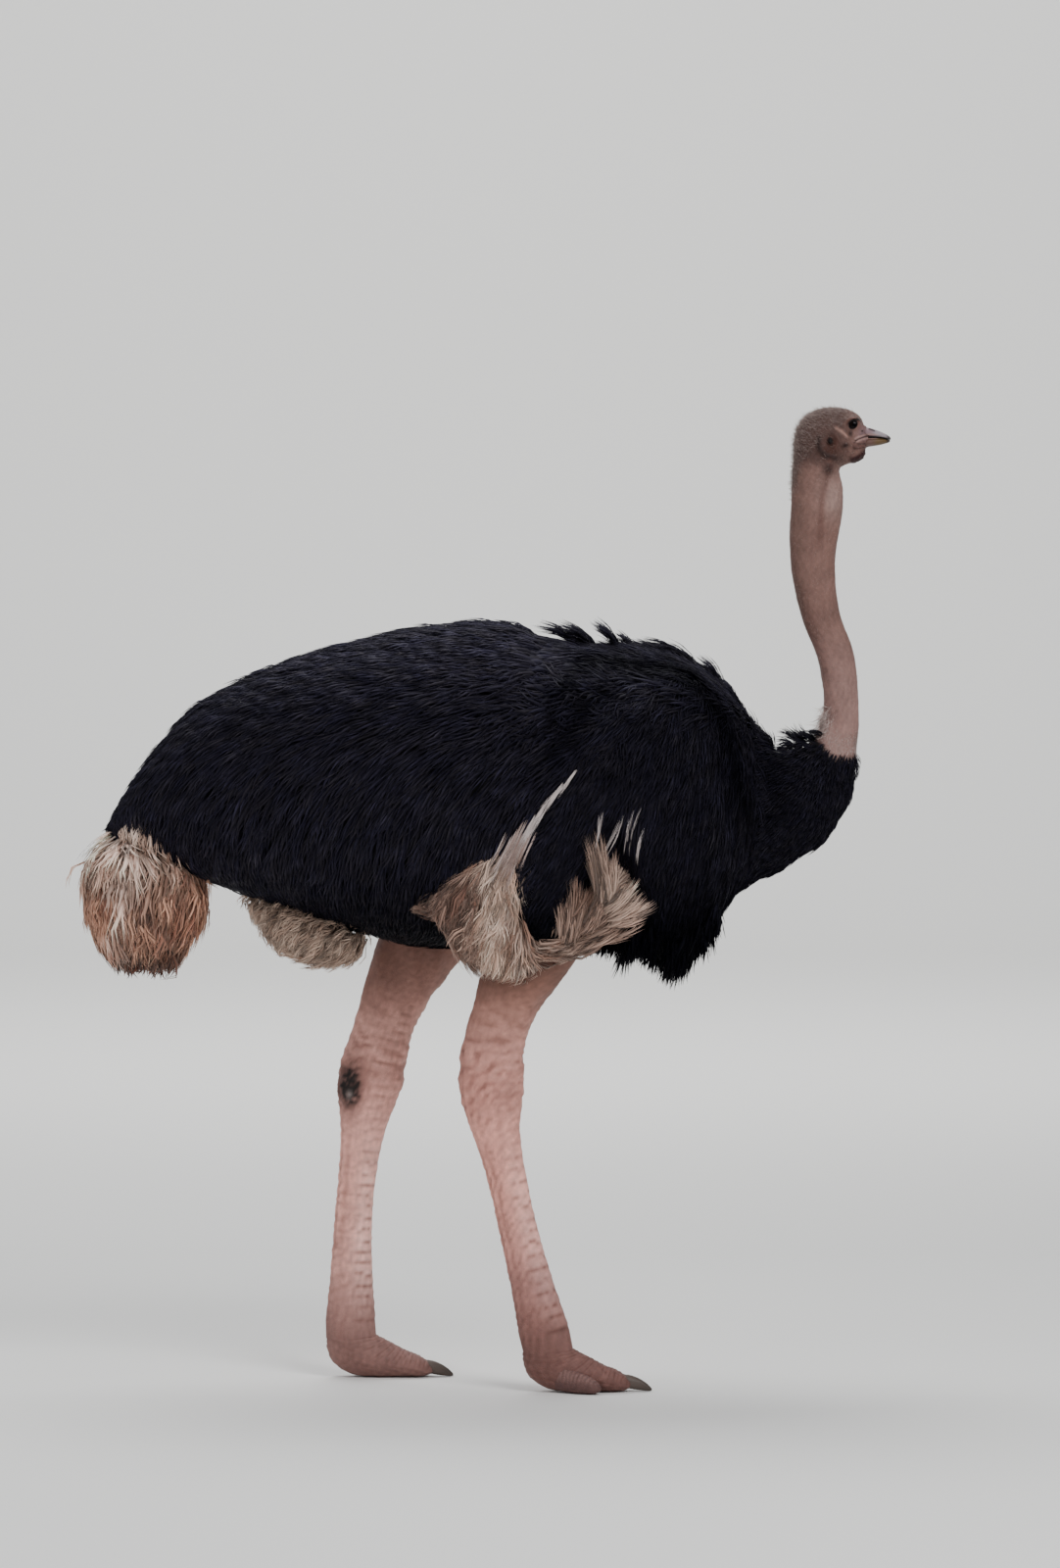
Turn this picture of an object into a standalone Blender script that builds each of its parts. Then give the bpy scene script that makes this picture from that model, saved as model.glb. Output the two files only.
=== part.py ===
"""A life-size male ostrich of the East African race, standing still with its right leg forward.

The frame is +X towards the bill, +Y to the bird's left and +Z up, in metres. The origin lies on
the floor, in the bird's middle plane, halfway between the bill's tip and the back of the tail.
The outer surface is the outline of the plumage where the bird is feathered, and the skin
where it is bare. Each sub-part is one closed solid, and a thin cut parts it from the next.
"""

import bmesh
import bpy
import numpy as np

# ---------------------------------------------------------------- driving dimensions, in metres
CUT = 0.0004  # width of the thin cuts between neighbours
EYE = (0.7885, 0.0290, 2.0585)  # centre of the left eyeball
EYE_RADIUS = 0.0195
EAR = (0.7375, 0.0465, 2.0225)  # middle of the left ear opening, on the cheek
EAR_RADIUS = 0.0080
EAR_RIM = 0.0028
ANKLE_HEIGHT = 0.103  # where the shank meets the toes
OUTER_TOE_TURN = 0.50  # radians that the small toe points outwards

# The body's plumage from rump to breast: x, height of the top, height of the underside, half width.
TRUNK = (
    (-0.812, 1.196, 1.172, 0.012),
    (-0.773, 1.275, 1.153, 0.075),
    (-0.727, 1.340, 1.140, 0.115),
    (-0.664, 1.420, 1.113, 0.155),
    (-0.601, 1.472, 1.086, 0.190),
    (-0.500, 1.525, 1.050, 0.228),
    (-0.380, 1.572, 1.006, 0.255),
    (-0.260, 1.602, 0.970, 0.272),
    (-0.139, 1.627, 0.943, 0.280),
    (-0.013, 1.640, 0.943, 0.280),
    (0.113, 1.629, 0.962, 0.277),
    (0.239, 1.611, 0.976, 0.268),
    (0.344, 1.590, 0.981, 0.254),
    (0.428, 1.560, 1.002, 0.232),
    (0.502, 1.510, 1.032, 0.198),
    (0.560, 1.450, 1.075, 0.150),
    (0.598, 1.380, 1.130, 0.082),
)

# The neck's middle line and half thicknesses, from the breast up: x, z, fore and aft, sideways.
NECK = (
    (0.500, 1.250, 0.150, 0.140),
    (0.565, 1.250, 0.166, 0.138),
    (0.628, 1.266, 0.139, 0.112),
    (0.680, 1.291, 0.109, 0.088),
    (0.727, 1.333, 0.077, 0.065),
    (0.755, 1.392, 0.054, 0.047),
    (0.761, 1.460, 0.043, 0.038),
    (0.752, 1.554, 0.043, 0.037),
    (0.720, 1.644, 0.044, 0.037),
    (0.702, 1.732, 0.049, 0.039),
    (0.702, 1.816, 0.055, 0.042),
    (0.708, 1.890, 0.060, 0.044),
    (0.709, 1.942, 0.057, 0.043),
    (0.716, 1.985, 0.050, 0.040),
    (0.727, 2.020, 0.040, 0.034),
)
FEATHERED_SHARE = 0.355  # share of the neck's rings that lie below the edge of its black feathers

# The head from nape to the bill's root: x, crown, throat, half width.
HEAD = (
    (0.657, 2.038, 2.004, 0.012),
    (0.664, 2.056, 1.986, 0.027),
    (0.679, 2.076, 1.972, 0.038),
    (0.703, 2.091, 1.964, 0.044),
    (0.733, 2.099, 1.964, 0.048),
    (0.760, 2.097, 1.970, 0.049),
    (0.785, 2.090, 1.978, 0.046),
    (0.804, 2.075, 1.986, 0.039),
    (0.819, 2.058, 2.002, 0.031),
)

# Each half of the bill from its root to its tip: x, upper side, lower side, half width.
UPPER_BILL = (
    (0.804, 2.0500, 2.0330, 0.020),
    (0.820, 2.0530, 2.0335, 0.027),
    (0.836, 2.0475, 2.0340, 0.027),
    (0.850, 2.0425, 2.0320, 0.023),
    (0.860, 2.0370, 2.0290, 0.016),
    (0.8665, 2.0310, 2.0280, 0.004),
)
LOWER_BILL = (
    (0.804, 2.0295, 2.0120, 0.018),
    (0.820, 2.0315, 2.0110, 0.025),
    (0.836, 2.0322, 2.0135, 0.024),
    (0.850, 2.0302, 2.0160, 0.020),
    (0.859, 2.0275, 2.0185, 0.013),
    (0.865, 2.0262, 2.0230, 0.004),
)

# The drooping bunch of tail plumes, from root to tip: x, z, fore and aft, sideways.
TAIL = (
    (-0.760, 1.235, 0.015, 0.020),
    (-0.756, 1.186, 0.055, 0.060),
    (-0.745, 1.144, 0.103, 0.095),
    (-0.735, 1.098, 0.134, 0.118),
    (-0.731, 1.039, 0.131, 0.120),
    (-0.733, 0.976, 0.112, 0.104),
    (-0.733, 0.924, 0.080, 0.075),
    (-0.731, 0.890, 0.045, 0.042),
    (-0.729, 0.874, 0.008, 0.008),
)

# The left wing's hanging front lobe, from behind forward:
# x, upper edge, lower edge, distance out to its middle, half thickness.
WING = (
    (0.256, 1.455, 1.150, 0.196, 0.050),
    (0.272, 1.480, 1.140, 0.188, 0.090),
    (0.297, 1.498, 1.110, 0.181, 0.114),
    (0.322, 1.514, 1.050, 0.176, 0.124),
    (0.349, 1.525, 0.955, 0.172, 0.128),
    (0.386, 1.535, 0.908, 0.164, 0.130),
    (0.428, 1.531, 0.925, 0.150, 0.128),
    (0.475, 1.506, 0.978, 0.132, 0.120),
    (0.523, 1.462, 1.045, 0.114, 0.106),
    (0.559, 1.400, 1.118, 0.102, 0.080),
    (0.577, 1.322, 1.190, 0.096, 0.032),
)
# The left wing's rear lobe, in the same columns.
REAR_LOBE = (
    (0.058, 1.110, 1.070, 0.252, 0.008),
    (0.070, 1.146, 1.030, 0.248, 0.024),
    (0.092, 1.191, 0.982, 0.240, 0.040),
    (0.128, 1.235, 0.958, 0.228, 0.058),
    (0.164, 1.290, 0.968, 0.214, 0.076),
    (0.197, 1.370, 1.022, 0.204, 0.090),
    (0.230, 1.430, 1.082, 0.196, 0.098),
    (0.262, 1.455, 1.130, 0.190, 0.096),
    (0.285, 1.440, 1.180, 0.188, 0.060),
)
# The pale plumes that show below and behind the left wing, in the same columns.
PLUMES = (
    (-0.146, 1.042, 1.030, 0.205, 0.008),
    (-0.097, 1.078, 1.002, 0.222, 0.035),
    (-0.055, 1.113, 0.945, 0.228, 0.046),
    (-0.013, 1.149, 0.898, 0.230, 0.050),
    (0.040, 1.180, 0.880, 0.226, 0.054),
    (0.103, 1.205, 0.890, 0.216, 0.056),
    (0.166, 1.205, 0.920, 0.206, 0.056),
    (0.229, 1.190, 0.957, 0.198, 0.054),
    (0.281, 1.175, 0.992, 0.192, 0.048),
    (0.319, 1.140, 1.026, 0.188, 0.036),
    (0.338, 1.100, 1.070, 0.186, 0.010),
)

# Pale down under the rump, behind the legs: x, top, underside, half width.
VENT_DOWN = (
    (-0.508, 1.060, 1.020, 0.010),
    (-0.470, 1.060, 0.965, 0.060),
    (-0.420, 1.050, 0.925, 0.088),
    (-0.360, 1.030, 0.903, 0.098),
    (-0.300, 1.010, 0.908, 0.088),
    (-0.258, 0.992, 0.930, 0.055),
    (-0.240, 0.978, 0.952, 0.010),
)

# Each leg's middle line from the knee, inside the plumage, to the ankle: x, y, z.
# The left leg stands back and the right leg forward.
LEFT_LEG = (
    (-0.034, 0.150, 1.123),
    (-0.178, 0.142, 0.871),
    (-0.243, 0.132, 0.680),
    (-0.285, 0.130, 0.390),
    (-0.296, 0.130, ANKLE_HEIGHT),
)
RIGHT_LEG = (
    (0.229, -0.150, 1.140),
    (0.075, -0.142, 0.895),
    (0.011, -0.132, 0.680),
    (0.055, -0.130, 0.410),
    (0.130, -0.130, ANKLE_HEIGHT),
)
HOCK_SHARE = 0.475  # share of the leg's length above the joint line of the hock
# A leg's girth: share of its length from the knee, half thickness fore and aft, and sideways.
LEG_GIRTH = (
    (0.00, 0.108, 0.085),
    (0.10, 0.106, 0.085),
    (0.20, 0.096, 0.078),
    (0.27, 0.083, 0.067),
    (0.34, 0.071, 0.055),
    (0.40, 0.067, 0.047),
    (0.45, 0.070, 0.045),
    (0.50, 0.069, 0.044),
    (0.54, 0.062, 0.040),
    (0.59, 0.050, 0.033),
    (0.64, 0.044, 0.029),
    (0.72, 0.041, 0.027),
    (0.82, 0.043, 0.028),
    (0.90, 0.048, 0.031),
    (0.96, 0.055, 0.035),
    (1.00, 0.057, 0.037),
)

# The toes from behind the ankle forward: x from the ankle, upper side, underside, half width.
# An underside below the floor makes a flat sole there.
MIDDLE_TOE = (
    (-0.052, 0.092, 0.062, 0.012),
    (-0.038, 0.108, 0.038, 0.028),
    (-0.010, 0.116, 0.016, 0.038),
    (0.025, 0.104, 0.000, 0.041),
    (0.060, 0.080, -0.006, 0.041),
    (0.095, 0.064, -0.007, 0.039),
    (0.130, 0.054, -0.007, 0.038),
    (0.158, 0.043, -0.005, 0.033),
    (0.176, 0.028, 0.002, 0.020),
    (0.182, 0.018, 0.008, 0.006),
)
CLAW = (
    (0.150, 0.038, 0.012, 0.014),
    (0.176, 0.036, 0.007, 0.015),
    (0.196, 0.029, 0.003, 0.012),
    (0.214, 0.018, 0.001, 0.007),
    (0.224, 0.008, 0.002, 0.002),
)
OUTER_TOE = (
    (0.000, 0.080, 0.035, 0.018),
    (0.030, 0.072, 0.006, 0.024),
    (0.062, 0.054, -0.005, 0.026),
    (0.094, 0.042, -0.006, 0.024),
    (0.118, 0.031, -0.004, 0.018),
    (0.130, 0.020, 0.004, 0.007),
)

# Colour and roughness of each kind of surface.
BLACK_PLUMES = (0.010, 0.009, 0.012, 0.9)
PALE_PLUMES = (0.480, 0.340, 0.270, 0.9)
TAIL_PLUMES = (0.280, 0.150, 0.100, 0.9)
BARE_SKIN = (0.420, 0.210, 0.180, 0.6)
HORN = (0.160, 0.110, 0.080, 0.4)
EYEBALL = (0.020, 0.010, 0.008, 0.05)


# ---------------------------------------------------------------- shaping
def stretched(rows, count):
    """The rows read at count even steps along a Catmull-Rom curve through them."""
    rows = np.array(rows, float)
    last = len(rows) - 1
    place = np.linspace(0, last, count)
    span = np.minimum(place.astype(int), last - 1)
    f = (place - span)[:, None]
    line = np.vstack([2 * rows[0] - rows[1], rows, 2 * rows[-1] - rows[-2]])
    before, start, end, after = (line[span + step] for step in range(4))
    slope, turn = end - before, 2 * before - 5 * start + 4 * end - after
    return start + 0.5 * f * (slope + f * (turn + f * (3 * (start - end) + after - before)))


def oval(sides, power):
    """Points round a superellipse of unit half axes, as their sideways and upward parts."""
    angle = 2 * np.pi * np.arange(sides) / sides
    across, up = np.cos(angle), np.sin(angle)
    share = 2 / power
    return np.sign(across) * np.abs(across) ** share, np.sign(up) * np.abs(up) ** share


def barrel(rows, rings, sides, power=2.2):
    """Rings that stand across X, from rows of x, top, underside, middle's y and half width."""
    x, top, under, middle, half = (c[:, None] for c in stretched(rows, rings).T)
    across, up = oval(sides, power)
    height = (top + under) / 2 + (top - under) / 2 * up
    return np.stack([x + 0 * up, middle + np.abs(half) * across, height], axis=-1)


def central(rows):
    """Rows of x, top, underside and half width, with the middle plane as their middle."""
    return [(x, top, under, 0.0, half) for x, top, under, half in rows]


def limb(line, depth, width, sides, power=2.0):
    """Rings square to a middle line, with half thicknesses fore and aft, and sideways."""
    along = np.gradient(line, axis=0)
    along /= np.linalg.norm(along, axis=1)[:, None]
    side = np.array([0, 1.0, 0]) - along * along[:, 1:2]
    side /= np.linalg.norm(side, axis=1)[:, None]
    fore = np.cross(side, along)
    across, up = oval(sides, power)
    sideways = side[:, None] * (width[:, None] * across)[..., None]
    forward = fore[:, None] * (depth[:, None] * up)[..., None]
    return line[:, None] + sideways + forward


def middle_plane_limb(rows, rings, sides):
    """A limb whose line lies in the middle plane, from rows of x, z and its half thicknesses."""
    x, z, depth, width = stretched(rows, rings).T
    return limb(np.stack([x, 0 * x, z], axis=-1), depth, width, sides)


def joined(mesh, low, high):
    """A band of quads between two rings of vertices."""
    for k in range(len(low)):
        n = (k + 1) % len(low)
        mesh.faces.new((low[k], low[n], high[n], high[k]))


def finished(name, mesh, paint):
    """The named object made from a closed bmesh, with its own material."""
    bmesh.ops.triangulate(mesh, faces=mesh.faces)
    bmesh.ops.recalc_face_normals(mesh, faces=mesh.faces)
    data = bpy.data.meshes.new(name)
    mesh.to_mesh(data)
    mesh.free()
    data.shade_smooth()
    material = bpy.data.materials.new(name)
    material.use_nodes = True
    surface = material.node_tree.nodes["Principled BSDF"]
    surface.inputs["Base Color"].default_value = (*paint[:3], 1)
    surface.inputs["Roughness"].default_value = paint[3]
    data.materials.append(material)
    piece = bpy.data.objects.new(name, data)
    bpy.context.scene.collection.objects.link(piece)
    return piece


def solid(name, rings, paint):
    """A closed solid through the rings, with a fan of triangles over each end."""
    mesh = bmesh.new()
    grid = [[mesh.verts.new(point) for point in ring] for ring in rings]
    for low, high in zip(grid, grid[1:]):
        joined(mesh, low, high)
    for ring in (grid[0], grid[-1]):
        middle = mesh.verts.new(np.mean([v.co for v in ring], axis=0))
        for k in range(len(ring)):
            mesh.faces.new((ring[k], ring[(k + 1) % len(ring)], middle))
    return finished(name, mesh, paint)


def hoop(name, rings, paint):
    """A closed solid through rings that follow each other round in a circle."""
    mesh = bmesh.new()
    grid = [[mesh.verts.new(point) for point in ring] for ring in rings]
    for low, high in zip(grid, grid[1:] + grid[:1]):
        joined(mesh, low, high)
    return finished(name, mesh, paint)


def room_for(piece):
    """A hidden copy of a piece, a thin cut larger all round, to part its neighbours from it."""
    copy = piece.copy()
    copy.data = piece.data.copy()
    copy.name = piece.name + "_room"
    copy.modifiers.clear()
    normals = [vertex.normal.copy() for vertex in copy.data.vertices]
    for vertex, normal in zip(copy.data.vertices, normals):
        vertex.co += normal * CUT
    copy.hide_render = True
    copy.display_type = "WIRE"
    bpy.context.scene.collection.objects.link(copy)
    return copy


def part_from(piece, *rooms):
    """Cuts each room out of a piece."""
    for room in rooms:
        cut = piece.modifiers.new(room.name, "BOOLEAN")
        cut.operation = "DIFFERENCE"
        cut.object = room


# ---------------------------------------------------------------- the bird's parts
def build_neck():
    """The feathered and the bare neck: one line of rings, parted where the feathers end."""
    rings = middle_plane_limb(NECK, 30, 12)
    edge = round(FEATHERED_SHARE * len(rings))
    upper = rings[edge:].copy()
    upper[0] += (0, 0, CUT)
    lower = solid("neck_lower", rings[: edge + 1], BLACK_PLUMES)
    return lower, solid("neck_upper", upper, BARE_SKIN)


def build_eye(side, sign):
    """An eyeball, as rings across X."""
    angle = np.linspace(0.06 * np.pi, 0.94 * np.pi, 7)
    reach, girth = EYE_RADIUS * np.cos(angle), EYE_RADIUS * np.sin(angle)
    rows = [(EYE[0] - r, EYE[2] + g, EYE[2] - g, sign * EYE[1], g) for r, g in zip(reach, girth)]
    return solid("eye_" + side, barrel(rows, len(rows), 9, power=2.0), EYEBALL)


def build_ear(side, sign):
    """The low oval rim of skin round an ear opening."""
    turn = 2 * np.pi * np.arange(10) / 10
    spoke = np.stack([np.cos(turn), 0 * turn, 1.25 * np.sin(turn)], axis=-1)
    across, out = oval(5, 2.0)
    middle = np.array((EAR[0], sign * EAR[1], EAR[2]))
    rings = middle + spoke[:, None] * (EAR_RADIUS + EAR_RIM * across)[None, :, None]
    rings[..., 1] += EAR_RIM * out
    return hoop("ear_" + side, rings, BARE_SKIN)


def build_leg(side, joints):
    """The thigh and the shank: one line of rings from knee to ankle, parted at the hock."""
    line = stretched(joints, 25)
    step = np.linalg.norm(np.diff(line, axis=0), axis=1)
    share = np.concatenate([[0], np.cumsum(step)]) / step.sum()
    at, depths, widths = np.array(LEG_GIRTH).T
    rings = limb(line, np.interp(share, at, depths), np.interp(share, at, widths), 12, 2.2)
    hock = int(np.searchsorted(share, HOCK_SHARE))
    lower = rings[hock:].copy()
    lower[0] -= (0, 0, CUT)
    thigh = solid("thigh_" + side, rings[: hock + 1], BARE_SKIN)
    return thigh, solid("shank_" + side, lower, BARE_SKIN)


def build_foot(side, sign, ankle):
    """The big middle toe, its claw, and the small outer toe, on flat soles."""

    def placed(rows, rings, sides, turn):
        shape = barrel(central(rows), rings, sides, power=2.3)
        x, y = shape[..., 0].copy(), shape[..., 1].copy()
        shape[..., 0] = ankle[0] + x * np.cos(turn) - y * np.sin(turn)
        shape[..., 1] = ankle[1] + x * np.sin(turn) + y * np.cos(turn)
        shape[..., 2] = np.maximum(shape[..., 2], 0.0)
        return shape

    middle = solid("middle_toe_" + side, placed(MIDDLE_TOE, 12, 12, 0.0), BARE_SKIN)
    claw = solid("claw_" + side, placed(CLAW, 6, 8, 0.0), HORN)
    outer = solid("outer_toe_" + side, placed(OUTER_TOE, 8, 10, sign * OUTER_TOE_TURN), BARE_SKIN)
    return middle, claw, outer


for old in list(bpy.data.objects):
    bpy.data.objects.remove(old)

trunk = solid("trunk", barrel(central(TRUNK), 22, 20), BLACK_PLUMES)
neck_lower, neck_upper = build_neck()
head = solid("head", barrel(central(HEAD), 15, 14, power=2.3), BARE_SKIN)
upper_bill = solid("upper_bill", barrel(central(UPPER_BILL), 8, 12, power=2.4), HORN)
lower_bill = solid("lower_bill", barrel(central(LOWER_BILL), 8, 12, power=2.4), HORN)
tail = solid("tail", middle_plane_limb(TAIL, 13, 12), TAIL_PLUMES)
vent_down = solid("vent_down", barrel(central(VENT_DOWN), 9, 12), PALE_PLUMES)

trunk_room, head_room, neck_room = room_for(trunk), room_for(head), room_for(neck_lower)
part_from(neck_lower, trunk_room)
part_from(neck_upper, head_room)
part_from(upper_bill, head_room)
part_from(lower_bill, head_room)
part_from(tail, trunk_room)
part_from(vent_down, trunk_room)

for side, sign, joints in (("l", 1, LEFT_LEG), ("r", -1, RIGHT_LEG)):
    to_side = (1, sign, 1)
    wing = solid("wing_" + side, barrel(WING, 14, 14) * to_side, BLACK_PLUMES)
    lobe = solid("wing_rear_lobe_" + side, barrel(REAR_LOBE, 10, 12) * to_side, BLACK_PLUMES)
    plumes = solid("plumes_" + side, barrel(PLUMES, 11, 10) * to_side, PALE_PLUMES)
    thigh, shank = build_leg(side, joints)
    middle_toe, claw, outer_toe = build_foot(side, sign, joints[-1])
    eye = build_eye(side, sign)
    ear = build_ear(side, sign)

    wing_room, lobe_room, thigh_room = room_for(wing), room_for(lobe), room_for(thigh)
    toe_room, shank_room = room_for(middle_toe), room_for(shank)
    part_from(head, room_for(eye), room_for(ear))
    part_from(wing, neck_room, trunk_room, thigh_room)
    part_from(lobe, trunk_room, wing_room, thigh_room)
    part_from(thigh, trunk_room)
    part_from(plumes, trunk_room, wing_room, lobe_room, thigh_room)
    part_from(vent_down, thigh_room)
    part_from(shank, toe_room)
    part_from(claw, toe_room)
    part_from(outer_toe, toe_room, shank_room)
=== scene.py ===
"""The looks of a life-size standing male ostrich with a pink neck and pink legs.

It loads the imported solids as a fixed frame, +X towards the bill, +Y to the bird's left and +Z up,
in metres. One skin and its coat of feathers stand in their place, with separate eyes, bill and claws.
"""

import bpy
import numpy as np
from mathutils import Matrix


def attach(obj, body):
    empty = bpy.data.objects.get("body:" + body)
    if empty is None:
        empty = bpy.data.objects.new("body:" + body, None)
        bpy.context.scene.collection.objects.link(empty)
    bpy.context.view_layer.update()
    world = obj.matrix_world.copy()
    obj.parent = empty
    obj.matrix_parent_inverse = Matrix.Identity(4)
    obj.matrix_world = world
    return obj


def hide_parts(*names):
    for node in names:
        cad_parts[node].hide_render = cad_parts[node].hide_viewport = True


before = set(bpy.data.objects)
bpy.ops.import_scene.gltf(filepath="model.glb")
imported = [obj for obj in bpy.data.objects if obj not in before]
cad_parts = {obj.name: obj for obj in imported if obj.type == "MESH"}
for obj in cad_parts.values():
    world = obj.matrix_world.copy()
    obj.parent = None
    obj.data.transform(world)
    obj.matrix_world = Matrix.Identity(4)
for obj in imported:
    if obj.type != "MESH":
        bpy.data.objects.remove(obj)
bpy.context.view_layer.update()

# ================================================================ skin of the head and neck
# Bare, loose, pinkish skin from the bill's root to the black feathers low on the neck, soft and finely
# wrinkled. It is one tube that turns over the skull, pushed out for the brows, cheeks and eyelids and
# in for the ears, the corners of the mouth and the folds of the throat.

# The tube's rings: back of the neck or top of the head (x, z), throat side (x, z), and half width.
NECK_RINGS = (
    (0.500, 1.362, 0.500, 1.138, 0.110),
    (0.548, 1.380, 0.582, 1.120, 0.106),
    (0.591, 1.368, 0.670, 1.154, 0.092),
    (0.632, 1.360, 0.736, 1.214, 0.072),
    (0.680, 1.368, 0.7810, 1.294, 0.0510),
    (0.7145, 1.403, 0.7950, 1.381, 0.0370),
    (0.7235, 1.459, 0.7985, 1.461, 0.0340),
    (0.7145, 1.546, 0.7895, 1.562, 0.0334),
    (0.6815, 1.633, 0.7585, 1.655, 0.0334),
    (0.6570, 1.727, 0.7470, 1.737, 0.0354),
    (0.6510, 1.818, 0.7530, 1.814, 0.0384),
    (0.6530, 1.885, 0.7640, 1.880, 0.0404),
    (0.6555, 1.925, 0.7635, 1.920, 0.0404),
    (0.6580, 1.955, 0.7590, 1.944, 0.0400),
    (0.6600, 1.985, 0.7565, 1.960, 0.0405),
)
HEAD_RINGS = (
    (0.6610, 2.0100, 0.7600, 1.9680, 0.0420),
    (0.6640, 2.0350, 0.7680, 1.9730, 0.0432),
    (0.6715, 2.0570, 0.7760, 1.9760, 0.0442),
    (0.6845, 2.0740, 0.7830, 1.9780, 0.0452),
    (0.7025, 2.0860, 0.7890, 1.9795, 0.0460),
    (0.7225, 2.0925, 0.7940, 1.9810, 0.0464),
    (0.7425, 2.0945, 0.7980, 1.9830, 0.0462),
    (0.7615, 2.0930, 0.8020, 1.9860, 0.0452),
    (0.7785, 2.0890, 0.8045, 1.9885, 0.0434),
    (0.7930, 2.0815, 0.8065, 1.9925, 0.0400),
    (0.8030, 2.0710, 0.8080, 1.9970, 0.0346),
    (0.8080, 2.0600, 0.8092, 2.0020, 0.0298),
    (0.8130, 2.0545, 0.8115, 2.0075, 0.0258),
    (0.8165, 2.0500, 0.8165, 2.0140, 0.0200),
    (0.8180, 2.0440, 0.8190, 2.0210, 0.0120),
)
EYE = np.array((0.7835, 0.0286, 2.0575))  # centre of the left eyeball
EYE_RADIUS = 0.0195
LID = 0.0011  # thickness of the eyelids' edges
OPENING = (0.0091, 0.0077)  # half length and half height of the opening between the lids
SLANT = 0.70  # radians that the opening rises to the front
EAR = (0.7350, 2.0232)
OVAL = 2.2  # the power that squares off the ovals of the head, the toes and the body
NECK_RING = 0.0085  # spacing of the rings of skin down the neck
LID_FOLD = 0.36  # spacing of the folds round the eye, in radii of its opening


def stretched(rows, places):
    """Rows of numbers read at places between them, along a Catmull-Rom curve."""
    rows = np.array(rows, float)
    last = len(rows) - 1
    span = np.clip(places.astype(int), 0, last - 1)
    f = (places - span)[:, None]
    line = np.vstack([2 * rows[0] - rows[1], rows, 2 * rows[-1] - rows[-2]])
    before, start, end, after = (line[span + step] for step in range(4))
    slope, turn = end - before, 2 * before - 5 * start + 4 * end - after
    return start + 0.5 * f * (slope + f * (turn + f * (3 * (start - end) + after - before)))


def resampled(rows, count):
    """Rows of numbers read at a count of even places along their curve."""
    return stretched(rows, np.linspace(0, len(rows) - 1, count))


def even(density, count):
    """Count places in 0..1 whose spacing is inverse to a density given on an even grid."""
    total = np.concatenate([[0], np.cumsum((density[1:] + density[:-1]) / 2)])
    return np.interp(np.linspace(0, total[-1], count), total, np.linspace(0, 1, len(density)))


def squared(wave, power):
    """A sine or cosine raised to 2/power with its sign kept, which squares off an oval."""
    return np.sign(wave) * np.abs(wave) ** (2 / power)


def tube(rings, angles, power):
    """Rings between a back and a front point: middle + cos(angle) * half the way to the back
    + sin(angle) * half width along Y, with the sine and cosine squared off by a power."""
    back, front, half = rings[:, None, 0:2], rings[:, None, 2:4], rings[:, None, 4]
    to_back = squared(np.cos(angles), power)[None, :, None]
    flat = (back + front) / 2 + to_back * (back - front) / 2
    return np.stack([flat[..., 0], half * squared(np.sin(angles), power), flat[..., 1]], axis=-1)


def circle(count):
    """A count of even angles round a circle."""
    return 2 * np.pi * np.arange(count) / count


def grid_normals(points):
    """Unit normals of a grid that closes on itself sideways: the cross product of its two slopes."""
    wide = np.concatenate([points[:, -1:], points, points[:, :1]], axis=1)
    along, around = np.gradient(wide, axis=0)[:, 1:-1], np.gradient(wide, axis=1)[:, 1:-1]
    normal = np.cross(around, along)
    return normal / np.maximum(np.linalg.norm(normal, axis=-1, keepdims=True), 1e-12)


def patch(x, z, centre, radii, lean=0.0):
    """A soft oval patch in side view: exp(-distance squared), with its radii turned by lean."""
    dx, dz = x - centre[0], z - centre[1]
    u, v = dx * np.cos(lean) + dz * np.sin(lean), dz * np.cos(lean) - dx * np.sin(lean)
    return np.exp(-((u / radii[0]) ** 2) - (v / radii[1]) ** 2)


def fold(x, z, line, width):
    """A soft line through points in side view: exp(-(distance to the line / width) squared)."""
    nearest = np.full(x.shape, 1e9)
    for (ax, az), (bx, bz) in zip(line, line[1:]):
        run = (bx - ax) ** 2 + (bz - az) ** 2
        t = np.clip(((x - ax) * (bx - ax) + (z - az) * (bz - az)) / run, 0, 1)
        nearest = np.minimum(nearest, np.hypot(x - ax - t * (bx - ax), z - az - t * (bz - az)))
    return np.exp(-((nearest / width) ** 2))


def ripples(points, size, seed):
    """A smooth uneven field of about -1..1: the mean of sine waves in eight fixed directions."""
    rng = np.random.default_rng(seed)
    waves = rng.normal(size=(8, 3))
    waves /= np.linalg.norm(waves, axis=1)[:, None]
    reach = 2 * np.pi / (size * rng.uniform(0.7, 1.5, 8))
    return np.sin(points @ (waves * reach[:, None]).T + rng.uniform(0, 6.28, 8)).sum(-1) / 4


def hump(value, middle, width):
    """1 where a value is at its middle, falling off as exp(-((value - middle) / width) squared)."""
    return np.exp(-(((value - middle) / width) ** 2))


def step(low, high, value):
    """0 below low, 1 above high, and a smooth rise between."""
    t = np.clip((value - low) / (high - low), 0, 1)
    return t * t * (3 - 2 * t)


def black_edge(x):
    """The height at which the black feathers give way to bare skin: lower on the throat's side."""
    return 1.400 - 0.040 * step(0.705, 0.750, x)


neck_part = resampled(NECK_RINGS, 150)[:-1]
sample = np.linspace(0, 1, 400)
head_rows = NECK_RINGS[-1:] + HEAD_RINGS
head_density = 1 + 2.2 * hump(sample, 0.60, 0.12) + 0.8 * step(0.66, 0.8, sample)
head_part = stretched(head_rows, even(head_density, 142) * (len(head_rows) - 1))
side_density = 1 + 2.6 * hump(np.abs(sample - 0.5) * 360, 110, 15)
angles = 2 * np.pi * even(side_density, 191)[:-1]
head_neck = tube(np.vstack([neck_part, head_part]), angles, OVAL)

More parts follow.
